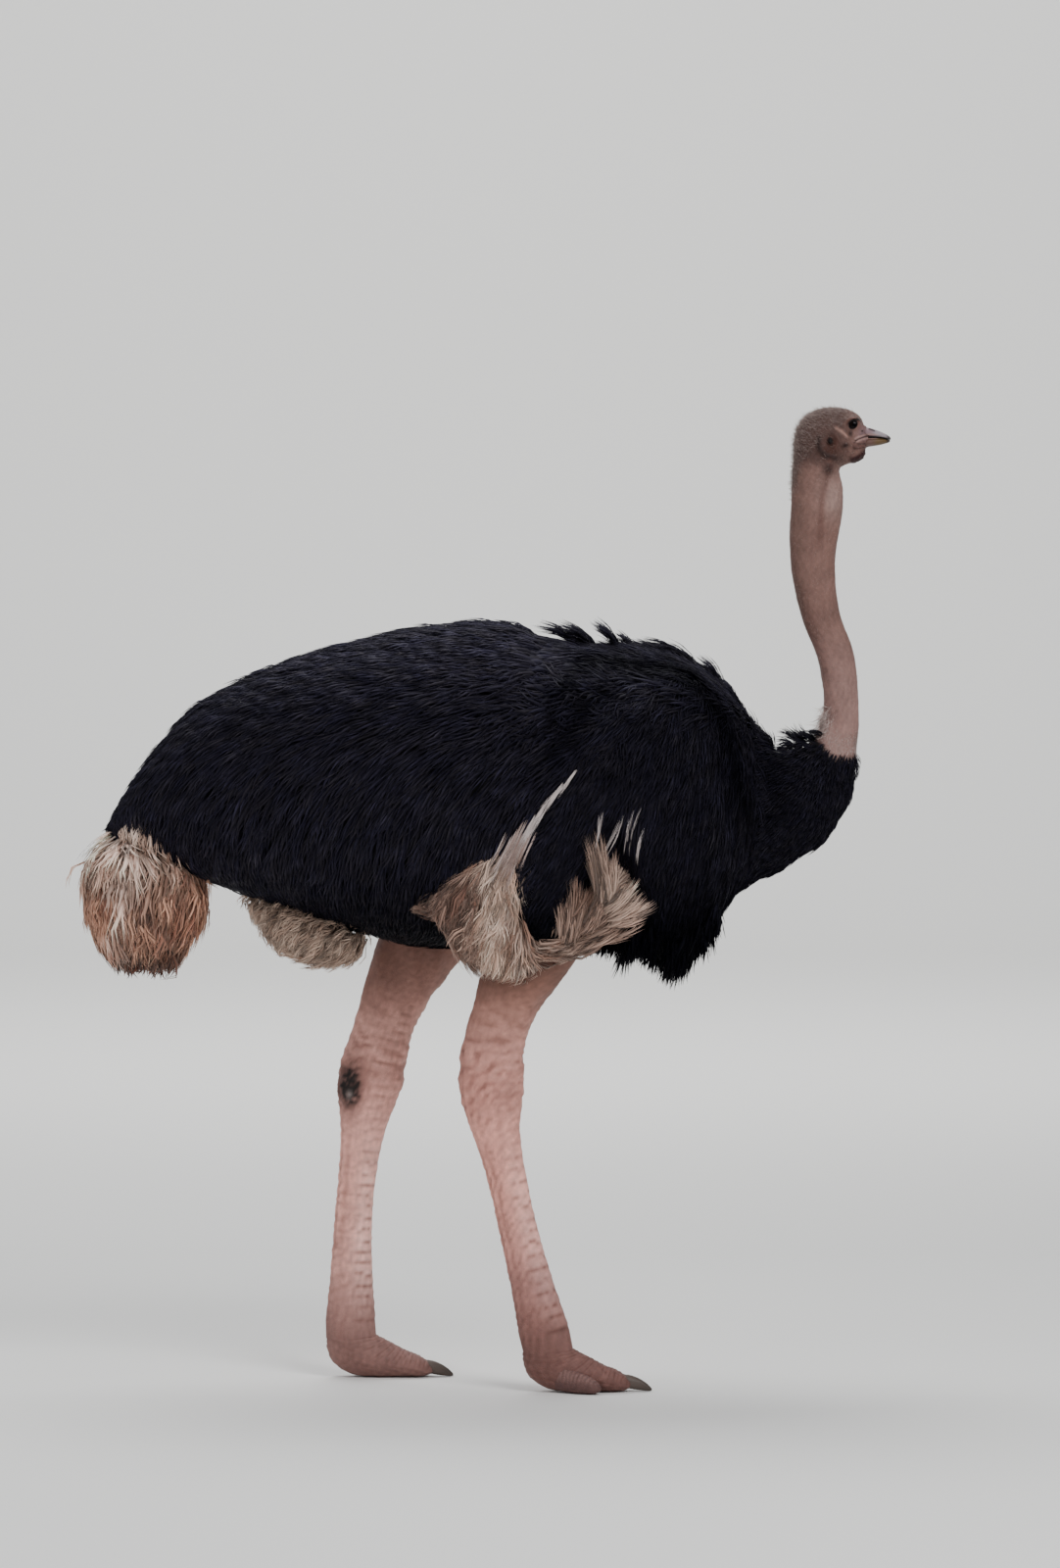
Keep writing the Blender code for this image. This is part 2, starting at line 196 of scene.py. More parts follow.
x, y, z = np.moveaxis(head_neck, -1, 0)
beside = step(0.008, 0.022, np.abs(y))
on_head = step(1.955, 1.985, z)
ear_reach = np.hypot((x - EAR[0]) / 0.0050, (z - EAR[1]) / 0.0064)
UNDER_EAR = ((0.7115, 2.0300), (0.7115, 2.0110), (0.7167, 1.9985), (0.7270, 1.9920), (0.7450, 1.9880))
MOUTH = ((0.8300, 2.0345), (0.8160, 2.0349), (0.8073, 2.0323), (0.7951, 2.0280), (0.7890, 2.0240))
under_ear = fold(x, z, UNDER_EAR, 0.0052)
jaw_pit = patch(x, z, (0.7672, 2.0149), (0.0085, 0.0050), 0.2)
cheek_bar = fold(x, z, ((0.7480, 2.0515), (0.7585, 2.0445), (0.7725, 2.0340)), 0.0038)
upper_lip = fold(x, z - 0.0036, MOUTH, 0.0022)
lower_lip = fold(x, z + 0.0040, MOUTH, 0.0024)
mouth_line = fold(x, z, MOUTH, 0.0015)
jaw_folds = fold(x, z, ((0.7860, 2.0200), (0.7990, 2.0170), (0.8120, 2.0180)), 0.0017)
jaw_folds += fold(x, z, ((0.7850, 2.0090), (0.7960, 2.0075), (0.8080, 2.0100)), 0.0017)
gape = fold(x, z, ((0.7890, 2.0240), (0.7850, 2.0150), (0.7880, 2.0080)), 0.0036)
lore = patch(x, z, (0.8030, 2.0446), (0.0020, 0.0022))
under_eye = patch(x, z, (0.7775, 2.0395), (0.0060, 0.0085), -0.3)
gular = fold(x, z, ((0.8120, 2.0000), (0.8020, 1.9900), (0.7860, 1.9835)), 0.0070)
neck_pit = patch(x, z, (0.7300, 1.9640), (0.0130, 0.0150))
cords = fold(x, z, ((0.7350, 1.985), (0.7180, 1.900), (0.7130, 1.800)), 0.0070)
cords *= beside * step(1.74, 1.85, z)
relief = 0.0026 * patch(x, z, (0.7900, 2.0830), (0.020, 0.0045), -0.30)  # brow
relief += 0.0026 * patch(x, z, (0.7660, 2.0040), (0.018, 0.008), 0.25)  # cheek
relief += 0.0026 * cheek_bar - 0.0040 * jaw_pit - 0.0016 * gape - 0.0014 * jaw_folds
relief -= 0.0022 * patch(x, z, (0.7560, 2.0580), (0.010, 0.010))  # temple
relief -= 0.0016 * patch(x, z, (0.8100, 2.0480), (0.0060, 0.0060)) + 0.0014 * lore + 0.0026 * under_eye
relief += 0.0024 * hump(ear_reach, 1.85, 0.60) - 0.0070 * np.exp(-(ear_reach**4))
relief += 0.0014 * (upper_lip + lower_lip) - 0.0034 * mouth_line - 0.0036 * under_ear
relief = relief * beside - 0.0030 * gular - 0.0020 * cords - 0.0060 * neck_pit * beside
rings_of_skin = np.sin(2 * np.pi * (z + 0.0020 * ripples(head_neck, 0.030, 3)) / NECK_RING)
creased = 0.5 + 0.5 * ripples(head_neck * (1, 1, 0.4), 0.05, 4)
relief += 0.00045 * rings_of_skin * creased * (1 - on_head)
pimples = 0.0008 * ripples(head_neck, 0.011, 5) + 0.0005 * ripples(head_neck, 0.0055, 12)
relief += pimples * (0.4 + 0.8 * on_head)
relief += 0.0012 * ripples(head_neck * (1, 1, 0.45), 0.035, 6) * (1 - on_head)
head_neck = head_neck + grid_normals(head_neck) * relief[..., None]

# The eyelids: the skin round each eye is drawn over the eyeball, and pushed behind it in the opening,
# an oval that slants up to the front. Fine folds ring it, deepest above.
x, y, z = np.moveaxis(head_neck, -1, 0)
sign = np.where(y < 0, -1.0, 1.0)
dx, dz = x - EYE[0], z - EYE[2]
# Each point's distance from the middle of the opening, in multiples of the slanted oval's own radius.
along, over = dx * np.cos(SLANT) + dz * np.sin(SLANT), dz * np.cos(SLANT) - dx * np.sin(SLANT)
reach = np.hypot(along / OPENING[0], over / OPENING[1])
near = np.hypot(dx, dz) < 0.030
at_edge = near & (np.abs(reach - 1) < 0.05)
pull = np.where(at_edge, 1 / np.maximum(reach, 1e-6), 1.0)
dx, dz, reach = dx * pull, dz * pull, np.where(at_edge, 1.0, reach)
above = step(-0.004, 0.008, dz)
ringed = np.cos(2 * np.pi * (reach - 1.0) / LID_FOLD)
wrinkles = (0.0005 + 0.0008 * above) * ringed * hump(reach, 1.6, 0.50)
hood = 0.0012 * above * hump(reach, 1.12, 0.12)
over = EYE_RADIUS + LID + wrinkles + hood + 0.0006 * hump(reach, 1.06, 0.06)
shell = np.where(reach < 0.999, EYE_RADIUS - 0.0045, over)
on_ball = EYE[1] + np.sqrt(np.maximum(shell**2 - dx**2 - dz**2, 0))
blend = (1 - step(0.0155, 0.0225, np.hypot(dx, dz))) * near * (np.abs(y) > 0.015)
depth = np.abs(y) * (1 - blend) + np.maximum(on_ball, np.abs(y) * (reach > 1.2)) * blend
head_neck = np.stack([EYE[0] + dx, sign * depth, EYE[2] + dz], axis=-1)
head_normals = grid_normals(head_neck)


def linear(colour):
    """An sRGB hex colour as linear red, green and blue."""
    part = np.array([int(colour[k : k + 2], 16) for k in (1, 3, 5)]) / 255
    return np.where(part <= 0.04045, part / 12.92, ((part + 0.055) / 1.055) ** 2.4)


def mixed(base, other, share):
    """Colours that go from base to other as share goes from 0 to 1."""
    return base + (other - base) * np.clip(share, 0, 1)[..., None]


def painted(colour, like, *layers):
    """A hex colour at each of an array's points, with layers over it in turn: a colour and its share."""
    tone = np.broadcast_to(linear(colour), like.shape)
    for over, share in layers:
        tone = mixed(tone, linear(over), share)
    return tone


x, y, z = np.moveaxis(head_neck, -1, 0)
throat = patch(x, z, (0.742, 1.900), (0.030, 0.055)) * step(1.80, 1.90, z)
shaded = patch(x, z, (0.7330, 2.0020), (0.022, 0.014)) + patch(x, z, (0.7400, 2.0240), (0.013, 0.012))
folds = 0.5 + 0.5 * ringed
mauve = patch(x, z, (0.8080, 2.0400), (0.015, 0.018)) * step(1.3, 1.8, reach)
brow_shade = fold(x, z, ((0.7765, 2.0600), (0.7860, 2.0690), (0.8000, 2.0690)), 0.0024)
ridges = (0.25 + 0.60 * above) * near * beside * hump(reach, 1.75, 0.40) * folds
grooves = (0.40 + 0.50 * above) * near * beside * hump(reach, 1.45, 0.55) * (1 - folds)
head_tone = painted(
    "#75574f", head_neck,
    ("#8a6b64", step(1.66, 1.48, z)),
    ("#6d524a", 0.8 * step(0.0, 0.03, 0.700 - x) * (1 - on_head)),
    ("#957a72", 0.85 * throat),
    ("#4a3530", 0.9 * on_head * step(0.0, 0.04, 0.795 - x)),
    # painted shade in the grooves down the neck's cords
    ("#5a3b34", 0.6 * cords),
    ("#38190f", 0.85 * shaded * beside),
    # painted shade in the pit where the head meets the neck
    ("#2e1c18", 0.90 * neck_pit * beside),
    ("#9a776c", 0.85 * cheek_bar * beside),
    ("#8f665b", ridges),
    # painted shade in the grooves between the folds round the eye, deeper above
    ("#301c17", grooves),
    ("#6c5558", 0.9 * mauve * beside),
    ("#5c3f3a", 0.8 * patch(x, z, (0.8000, 2.0120), (0.020, 0.010)) * beside),
    # painted shadow under the eye
    ("#2a1a16", 0.95 * under_eye * beside),
    ("#b08d86", 0.80 * (upper_lip + lower_lip) * beside),
    # painted shade in the folds on the lower jaw
    ("#3a2622", 0.8 * jaw_folds * beside),
    # painted shade in the mouth's line, the pit behind the jaw, the fold under the ear, the dent before the
    # eye and the gape
    ("#200d09", (mouth_line + jaw_pit + 0.85 * under_ear + lore + 0.35 * gape) * beside),
    # the dark red skin of the fold under the jaw, deepened by painted shade
    ("#2a0807", 1.7 * gular),
    # painted shade in the ear's opening
    ("#120a09", 1.5 * np.exp(-((ear_reach / 1.15) ** 4)) * beside),
    ("#150d0b", 1.2 * brow_shade * beside),
    # the lids' dark edges, widened above by a painted shadow under the brow
    ("#120a08", near * step(1.20 + 0.30 * above, 1.06, reach) * (np.abs(y) > 0.02)),
    # near black where the skin runs under the black feathers: painted shade where it shows between them
    ("#0a090c", step(0.0, 0.02, black_edge(x) - 0.005 - z)),
)
head_tone *= (1 + 0.13 * ripples(head_neck, 0.010, 8) + 0.12 * ripples(head_neck, 0.05, 9))[..., None]


# ================================================================ skin of the legs and feet
# Bare pink skin from the drumstick down, drawn tight over tendons, with broad horn plates down the
# front of the shank and the toes and small scales elsewhere. The middle toe ends each leg's tube.

# A leg's share of the way down, half thickness fore and aft, and sideways.
GIRTH = (
    (0.00, 0.098, 0.076), (0.10, 0.097, 0.077), (0.20, 0.089, 0.072), (0.27, 0.077, 0.062),
    (0.34, 0.066, 0.0510), (0.40, 0.064, 0.0445), (0.45, 0.0680, 0.0430), (0.50, 0.0670, 0.0420),
    (0.54, 0.0600, 0.0385), (0.59, 0.0485, 0.0318), (0.64, 0.0425, 0.0280), (0.72, 0.0395, 0.0260),
    (0.82, 0.0415, 0.0268), (0.90, 0.0462, 0.0292), (0.96, 0.0520, 0.0325), (1.00, 0.0545, 0.0350),
)
LEFT_LEG = (
    (-0.034, 0.150, 1.123), (-0.178, 0.142, 0.871), (-0.243, 0.132, 0.680),
    (-0.285, 0.130, 0.390), (-0.296, 0.130, 0.103),
)
RIGHT_LEG = (
    (0.229, -0.150, 1.140), (0.075, -0.142, 0.895), (0.011, -0.132, 0.680),
    (0.055, -0.130, 0.410), (0.130, -0.130, 0.103),
)
# From the ankle to the tip of the middle toe: top (x, z) and sole (x, z) from the ankle, half width.
FOOT = (
    (0.056, 0.0920, -0.051, 0.0850, 0.0360),
    (0.066, 0.0860, -0.049, 0.0600, 0.0375),
    (0.080, 0.0790, -0.036, 0.0310, 0.0385),
    (0.094, 0.0720, 0.004, 0.0060, 0.0392),
    (0.108, 0.0640, 0.050, 0.0010, 0.0395),
    (0.124, 0.0560, 0.092, 0.0010, 0.0388),
    (0.142, 0.0490, 0.124, 0.0010, 0.0370),
    (0.158, 0.0410, 0.147, 0.0010, 0.0335),
    (0.171, 0.0310, 0.165, 0.0030, 0.0260),
    (0.179, 0.0220, 0.176, 0.0075, 0.0150),
    (0.1815, 0.0170, 0.1805, 0.0120, 0.0060),
)
OUTER_TOE = (
    (0.002, 0.0790, 0.000, 0.0340, 0.0160),
    (0.030, 0.0690, 0.024, 0.0080, 0.0220),
    (0.062, 0.0530, 0.060, 0.0010, 0.0248),
    (0.094, 0.0410, 0.093, 0.0010, 0.0230),
    (0.116, 0.0300, 0.117, 0.0025, 0.0170),
    (0.1285, 0.0180, 0.1285, 0.0080, 0.0070),
)
OUTER_TURN = 0.50  # radians that the outer toe points away from the middle one
PLATE = 0.0105  # spacing of the plates and the wrinkles down the leg
SOLE = 0.0006  # height of the soles off the ground


# How much redder the left leg is, and darker at the thigh and above the foot, than the right one: painted
# light and shade that fall differently on the two legs. Each row: height, and what red, green and blue are
# multiplied by.
TINTS = {
    1: ((0.12, 0.95, 0.93, 0.95), (0.40, 1.18, 1.08, 1.07), (0.60, 1.05, 0.98, 0.98), (0.85, 1.02, 1.0, 1.0)),
    -1: (
        (0.12, 0.72, 0.64, 0.64), (0.24, 0.72, 0.64, 0.65), (0.40, 1.10, 0.94, 0.92),
        (0.55, 1.04, 0.88, 0.86), (0.70, 0.90, 0.80, 0.79), (0.85, 0.80, 0.74, 0.70),
    ),
}


def leg_rows(joints, at):
    """Back and front points of a leg's rings at shares of its length: the line plus and minus the
    half thickness, square to the line's slope in side view."""
    line = resampled(joints, 200)
    run = np.concatenate([[0], np.cumsum(np.linalg.norm(np.diff(line, axis=0), axis=1))])
    mid = np.stack([np.interp(at, run / run[-1], line[:, k]) for k in range(3)], axis=1)
    slope = np.gradient(mid[:, (0, 2)], axis=0)
    slope /= np.linalg.norm(slope, axis=1)[:, None]
    fore = np.stack([-slope[:, 1], slope[:, 0]], axis=1)
    shares, depth, width = np.array(GIRTH).T
    depth, width = np.interp(at, shares, depth)[:, None], np.interp(at, shares, width)[:, None]
    flat = mid[:, (0, 2)]
    return np.hstack([flat - fore * depth, flat + fore * depth, width]), mid[:, 1:2]


def leg_skin(joints, side, seed):
    """A leg and its middle toe as one tube, with plates, scales, tendons and wrinkles."""
    rows, out = leg_rows(joints, np.linspace(0.02, 0.985, 142))
    ankle = np.array(joints[-1])
    foot = resampled(FOOT, 74)
    foot[:, (0, 2)] += ankle[0]
    foot = foot[:, (2, 3, 0, 1, 4)]
    rows = np.vstack([rows, foot])
    out = np.vstack([out, np.full((len(foot), 1), ankle[1])])
    angle = circle(76)
    leg = tube(rows, angle, 2.15)
    leg[..., 1] += out
    run = np.cumsum(np.concatenate([[0], np.linalg.norm(np.diff(leg.mean(1), axis=0), axis=1)]))
    down = np.broadcast_to(run[:, None], leg.shape[:2])
    x, z = leg[..., 0], leg[..., 2]
    front = step(0.30, -0.50, np.cos(angle))
    low = 1 - step(0.40, 0.62, z)
    hock = hump(z, 0.665, 0.085)
    phase = (down + 0.0018 * ripples(leg, 0.03, seed)) / PLATE % 1
    plate = np.minimum(1, 6 * phase) * (1 - 0.55 * phase)
    plates = front * (low + 0.45 * hock * (1 - low)) * (z > 0.012)
    relief = 0.0026 * plates * (plate - 0.5)
    seam = hump(phase, 0, 0.12) + hump(phase, 1, 0.12)
    lean = np.abs(np.sin(angle))[None] + 0.05 * ripples(leg, 0.12, seed + 6)
    cord = (hump(lean, 0.82, 0.10) + hump(lean, 0.42, 0.10)) * (np.cos(angle) > -0.3)
    tendon = cord * hump(z, 0.38, 0.22) * (z > 0.11)
    relief -= 0.0024 * tendon
    relief += 0.0034 * hock * ripples(leg, 0.050, seed + 1)
    knob = patch(x, z, (ankle[0] - 0.118 * (side < 0) + 0.078, 0.655), (0.030, 0.026))
    relief += 0.0050 * knob * step(0.3, -0.6, np.cos(angle))
    lines = np.sin(2 * np.pi * (z + 0.25 * (x - ankle[0]) + 0.004 * ripples(leg, 0.045, 7)) / PLATE)
    wrinkled = (hump(z, 0.70, 0.11) + 0.40 * low + 0.25) * (1 - plates)
    broken = 0.55 + 0.45 * ripples(leg, 0.035, seed + 2)
    relief += 0.0019 * wrinkled * lines * broken
    relief += 0.0011 * ripples(leg, 0.016, seed + 3) * (0.6 + 0.8 * hock)
    relief += 0.0030 * ripples(leg * (1, 1, 0.28), 0.040, seed + 9) * step(0.72, 0.85, z)
    # The left hock alone carries a dark callus.
    callus = (side > 0) * patch(x, z, (-0.293, 0.632), (0.030, 0.056)) * step(-0.3, 0.4, np.cos(angle))
    relief += callus * (0.0060 + 0.0030 * ripples(leg, 0.014, 11))
    relief *= step(0.0, 0.02, z)
    leg = leg + grid_normals(leg) * relief[..., None]
    leg[..., 2] = np.maximum(leg[..., 2], SOLE)
    x, z = leg[..., 0], leg[..., 2]

    shade = painted(
        "#e0ab9e", leg,
        ("#efc8bd", 0.70 * plates * plate * step(0.05, 0.25, z)),
        ("#e2b8ac", 0.50 * hock * step(0.1, 0.8, ripples(leg, 0.020, seed + 8))),
        ("#75564f", 0.88 * (1 - step(0.06, 0.30, z))),
        ("#b07e72", 0.55 * hock),
        ("#6b453d", 0.65 * seam * plates),
        # painted shade in the grooves that the tendon lines push into the leg
        ("#7d544b", 0.55 * tendon * (0.6 + 0.4 * ripples(leg, 0.05, seed + 7))),
        # painted shade in the troughs of the wrinkles
        ("#7d554c", 0.70 * wrinkled * broken * step(0.0, -0.8, lines)),
        # the top of the thigh darker: painted shade under the plumage
        ("#78564b", 0.92 * step(0.70, 0.90, z)),
        ("#1f1917", 1.5 * callus * (0.85 + 0.25 * ripples(leg, 0.012, 11))),
        # a pale speck on the callus: a painted highlight
        ("#8d8480", patch(x, z, (-0.296, 0.615), (0.006, 0.008)) * callus),
    )
    tint = np.array(TINTS[side])
    # painted light and shade that differ between the two legs, by height
    shade *= np.stack([np.interp(z, tint[:, 0], tint[:, k]) for k in (1, 2, 3)], axis=-1)
    shade *= (1 + 0.14 * ripples(leg, 0.014, seed + 4) + 0.10 * ripples(leg, 0.07, seed + 5))[..., None]
    scales = step(0.60, 0.45, z) * (1 - 0.85 * plates)

    toe = tube(resampled(OUTER_TOE, 64), circle(36), OVAL)
    ridge = np.abs(np.sin(np.pi * toe[..., 0] / 0.0085)) * step(0.020, 0.035, toe[..., 2])
    toe = toe + grid_normals(toe) * (0.0016 * ridge)[..., None]
    turn = side * OUTER_TURN
    toe = np.stack([
        ankle[0] + toe[..., 0] * np.cos(turn) - toe[..., 1] * np.sin(turn),
        ankle[1] + toe[..., 0] * np.sin(turn) + toe[..., 1] * np.cos(turn),
        np.maximum(toe[..., 2], SOLE),
    ], axis=-1)
    toe_shade = painted("#664a46", toe, ("#86655f", ridge))
    toe_shade *= (1 + 0.12 * ripples(toe, 0.012, seed))[..., None]
    return [(leg, shade, scales), (toe, toe_shade, np.ones(toe.shape[:2]))]


# ================================================================ body under the plumage
# The skin and short underdown that the long feathers grow from: the trunk, the wings, the tail's
# stump and the bunched plumes, each a closed barrel a coat's depth inside the outline of the feathers.
# Under the black feathers it is near black: painted shade where it shows between them.

# Outlines of the plumage from behind forward: x, top, underside, distance out to the middle, half width.
TRUNK = np.array((
    (-0.812, 1.196, 1.172, 0, 0.012), (-0.773, 1.275, 1.153, 0, 0.075), (-0.727, 1.340, 1.140, 0, 0.115),
    (-0.664, 1.420, 1.113, 0, 0.155), (-0.601, 1.472, 1.086, 0, 0.190), (-0.500, 1.525, 1.050, 0, 0.228),
    (-0.380, 1.572, 1.006, 0, 0.255), (-0.260, 1.602, 0.970, 0, 0.272), (-0.139, 1.627, 0.943, 0, 0.280),
    (-0.013, 1.640, 0.943, 0, 0.280), (0.113, 1.629, 0.962, 0, 0.277), (0.239, 1.611, 0.976, 0, 0.268),
    (0.344, 1.590, 0.981, 0, 0.254), (0.428, 1.560, 1.002, 0, 0.232), (0.502, 1.510, 1.032, 0, 0.198),
    (0.560, 1.450, 1.075, 0, 0.150), (0.598, 1.380, 1.130, 0, 0.082),
))
WING = np.array((
    (0.256, 1.455, 1.15, 0.196, 0.05), (0.272, 1.48, 1.14, 0.188, 0.09), (0.297, 1.498, 1.11, 0.181, 0.114),
    (0.322, 1.514, 1.05, 0.176, 0.124), (0.349, 1.525, 0.955, 0.172, 0.128),
    (0.386, 1.535, 0.908, 0.164, 0.13), (0.428, 1.531, 0.925, 0.15, 0.128),
    (0.475, 1.506, 0.978, 0.132, 0.12), (0.523, 1.462, 1.045, 0.114, 0.106),
    (0.559, 1.4, 1.118, 0.102, 0.08), (0.577, 1.322, 1.19, 0.096, 0.032),
))
REAR_LOBE = np.array((
    (0.058, 1.11, 1.07, 0.252, 0.008), (0.07, 1.146, 1.03, 0.248, 0.024), (0.092, 1.191, 0.982, 0.24, 0.04),
    (0.128, 1.235, 0.958, 0.228, 0.058), (0.164, 1.29, 0.968, 0.214, 0.076),
    (0.197, 1.37, 1.022, 0.204, 0.09), (0.23, 1.43, 1.082, 0.196, 0.098), (0.262, 1.455, 1.13, 0.19, 0.096),
    (0.285, 1.44, 1.18, 0.188, 0.06),
))
PLUMES = np.array((
    (-0.146, 1.042, 1.03, 0.205, 0.008), (-0.097, 1.078, 1.002, 0.222, 0.035),
    (-0.055, 1.113, 0.945, 0.228, 0.046), (-0.013, 1.149, 0.898, 0.23, 0.05),
    (0.04, 1.18, 0.88, 0.226, 0.054), (0.103, 1.205, 0.89, 0.216, 0.056),
    (0.166, 1.205, 0.92, 0.206, 0.056), (0.229, 1.19, 0.957, 0.198, 0.054),
    (0.281, 1.175, 0.992, 0.192, 0.048), (0.319, 1.14, 1.026, 0.188, 0.036),
    (0.338, 1.1, 1.07, 0.186, 0.01),
))
VENT = np.array((
    (-0.508, 1.060, 1.020, 0, 0.010), (-0.470, 1.060, 0.965, 0, 0.060), (-0.420, 1.050, 0.925, 0, 0.088),
    (-0.360, 1.030, 0.903, 0, 0.098), (-0.300, 1.010, 0.908, 0, 0.088), (-0.258, 0.992, 0.930, 0, 0.055),
    (-0.240, 0.978, 0.952, 0, 0.010),
))
# The tail's bunch of plumes from root to tip: x, z, half thickness fore and aft, and sideways.
TAIL = np.array((
    (-0.760, 1.235, 0.015, 0.020), (-0.756, 1.186, 0.055, 0.060), (-0.745, 1.144, 0.103, 0.095),
    (-0.735, 1.098, 0.134, 0.118), (-0.731, 1.039, 0.131, 0.120), (-0.733, 0.976, 0.112, 0.104),
    (-0.733, 0.924, 0.080, 0.075), (-0.731, 0.890, 0.045, 0.042), (-0.729, 0.874, 0.008, 0.008),
))


def inset(rows, depth):
    """Outline rows drawn in by a depth, but never thinner than 4 mm each way."""
    rows = rows.copy()
    middle, rise = (rows[:, 1] + rows[:, 2]) / 2, (rows[:, 1] - rows[:, 2]) / 2
    rise = np.maximum(rise - depth, 0.004)
    rows[:, 1], rows[:, 2] = middle + rise, middle - rise
    rows[:, 4] = np.maximum(rows[:, 4] - depth, 0.004)
    ends = rows[0, 0], rows[-1, 0]
    rows[:, 0] = np.interp(rows[:, 0], ends, (ends[0] + depth, ends[1] - depth))
    return rows


def barrel(rows, rings, sides, side=1):
    """Upright squared ovals along X, on the left (side 1) or the right (side -1)."""
    x, top, under, out, half = (c[:, None] for c in resampled(rows, rings).T)
    across, up = squared(np.sin(circle(sides)), OVAL), squared(np.cos(circle(sides)), OVAL)
    half = np.maximum(half, 0.003)
    level = (top + under) / 2 + (top - under) / 2 * up
    return np.stack([x + 0 * up, side * (out + half * across), level], axis=-1)


def bunch(rows, rings, sides):
    """Level ovals from the root down: x and y from the half thicknesses, z from the line."""
    x, z, depth, width = (c[:, None] for c in resampled(rows, rings).T)
    depth, width = np.maximum(depth, 0.003), np.maximum(width, 0.003)
    angle = circle(sides)
    return np.stack([x + depth * np.cos(angle), width * np.sin(angle), z + 0 * angle], axis=-1)


def plain(points, colour):
    """A part of the skin in one colour, with no scales."""
    return points, painted(colour, points), np.zeros(points.shape[:2])


tail_core = TAIL - (0, 0, 0.030, 0.028)
tail_core[:, 2:] = np.maximum(tail_core[:, 2:], 0.004)
tail_core[:, 1] = np.interp(tail_core[:, 1], (0.874, 1.235), (0.905, 1.235))
parts = [(head_neck, head_tone, np.zeros(head_tone.shape[:2]))]
parts += leg_skin(LEFT_LEG, 1, 21) + leg_skin(RIGHT_LEG, -1, 51)
# near black: painted shade where the trunk's skin shows between the feathers
parts += [plain(barrel(inset(TRUNK, 0.040), 60, 40), "#0e0c10")]
parts += [plain(bunch(tail_core, 20, 20), "#5f4438")]
parts += [plain(barrel(inset(VENT, 0.025), 16, 20), "#8d7465")]
for side in (1, -1):
    # near black: painted shade where the wings' skin shows between the feathers
    parts += [plain(barrel(inset(WING, 0.030), 26, 24, side), "#0e0c10")]
    parts += [plain(barrel(inset(REAR_LOBE, 0.022), 20, 20, side), "#0e0c10")]
    parts += [plain(barrel(inset(PLUMES, 0.026), 20, 20, side), "#7b5c4f")]


def closed(grid, first):
    """Faces of a tube of rings: quads between rings, and a ladder of quads and two triangles over
    each end. first is the number of the grid's first point."""
    rings, sides = grid.shape[:2]
    number = first + np.arange(rings * sides).reshape(rings, sides)
    beside = np.roll(number, -1, axis=1)
    walls = np.stack([number[:-1], beside[:-1], beside[1:], number[1:]], axis=-1).reshape(-1, 4)
    rungs = np.arange(1, sides // 2 - 1)
    ladder = np.stack([rungs, rungs + 1, sides - rungs - 1, sides - rungs], axis=1)
    tips = np.array([(0, 1, sides - 1), (sides // 2 - 1, sides // 2, sides // 2 + 1)])
    faces = walls.tolist()
    for base, turned in ((first, True), (first + (rings - 1) * sides, False)):
        for cap in (ladder + base, tips + base):
            faces += (cap[:, ::-1] if turned else cap).tolist()
    return faces


def shaped(name, points, faces, tones, material, masks=None):
    """A smooth mesh object at the origin, with its colours in the attribute "tone"."""
    mesh = bpy.data.meshes.new(name)
    mesh.from_pydata(points, [], faces)
    colours = np.concatenate([np.clip(tones, 0, 1), np.ones((len(tones), 1))], axis=1)
    mesh.color_attributes.new("tone", "FLOAT_COLOR", "POINT").data.foreach_set("color", colours.ravel())
    for key, values in (masks or {}).items():
        mesh.attributes.new(key, "FLOAT", "POINT").data.foreach_set("value", values)
    mesh.shade_smooth()
    mesh.materials.append(material)
    made = bpy.data.objects.new(name, mesh)
    bpy.context.scene.collection.objects.link(made)
    return made


def add(tree, kind, inputs=None, **settings):
    """Adds a node. inputs gives each socket a value, or links it to another node's output."""
    made = tree.nodes.new(kind)
    for key, value in settings.items():
        setattr(made, key, value)
    for key, value in (inputs or {}).items():
        if isinstance(value, bpy.types.NodeSocket):
            tree.links.new(value, made.inputs[key])
        else:
            made.inputs[key].default_value = value
    return made


def finish(name, **values):
    """A new material, its node tree and its surface, with the values of the surface's inputs."""
    made = bpy.data.materials.new(name)
    made.use_nodes = True
    surface = made.node_tree.nodes["Principled BSDF"]
    for key, value in values.items():
        surface.inputs[key.replace("_", " ")].default_value = value
    return made, made.node_tree, surface


def coloured(tree, surface, pattern, spread):
    """Gives the surface the colour in "tone", times 1 - spread to 1 + spread as a pattern goes."""
    tone = add(tree, "ShaderNodeAttribute", attribute_name="tone").outputs["Color"]
    ends = {"Value": pattern.outputs["Fac"], "To Min": 1 - spread, "To Max": 1 + spread}
    strength = add(tree, "ShaderNodeMapRange", ends).outputs["Result"]
    colour = add(tree, "ShaderNodeVectorMath", {0: tone, 1: strength}, operation="MULTIPLY")
    tree.links.new(colour.outputs[0], surface.inputs["Base Color"])


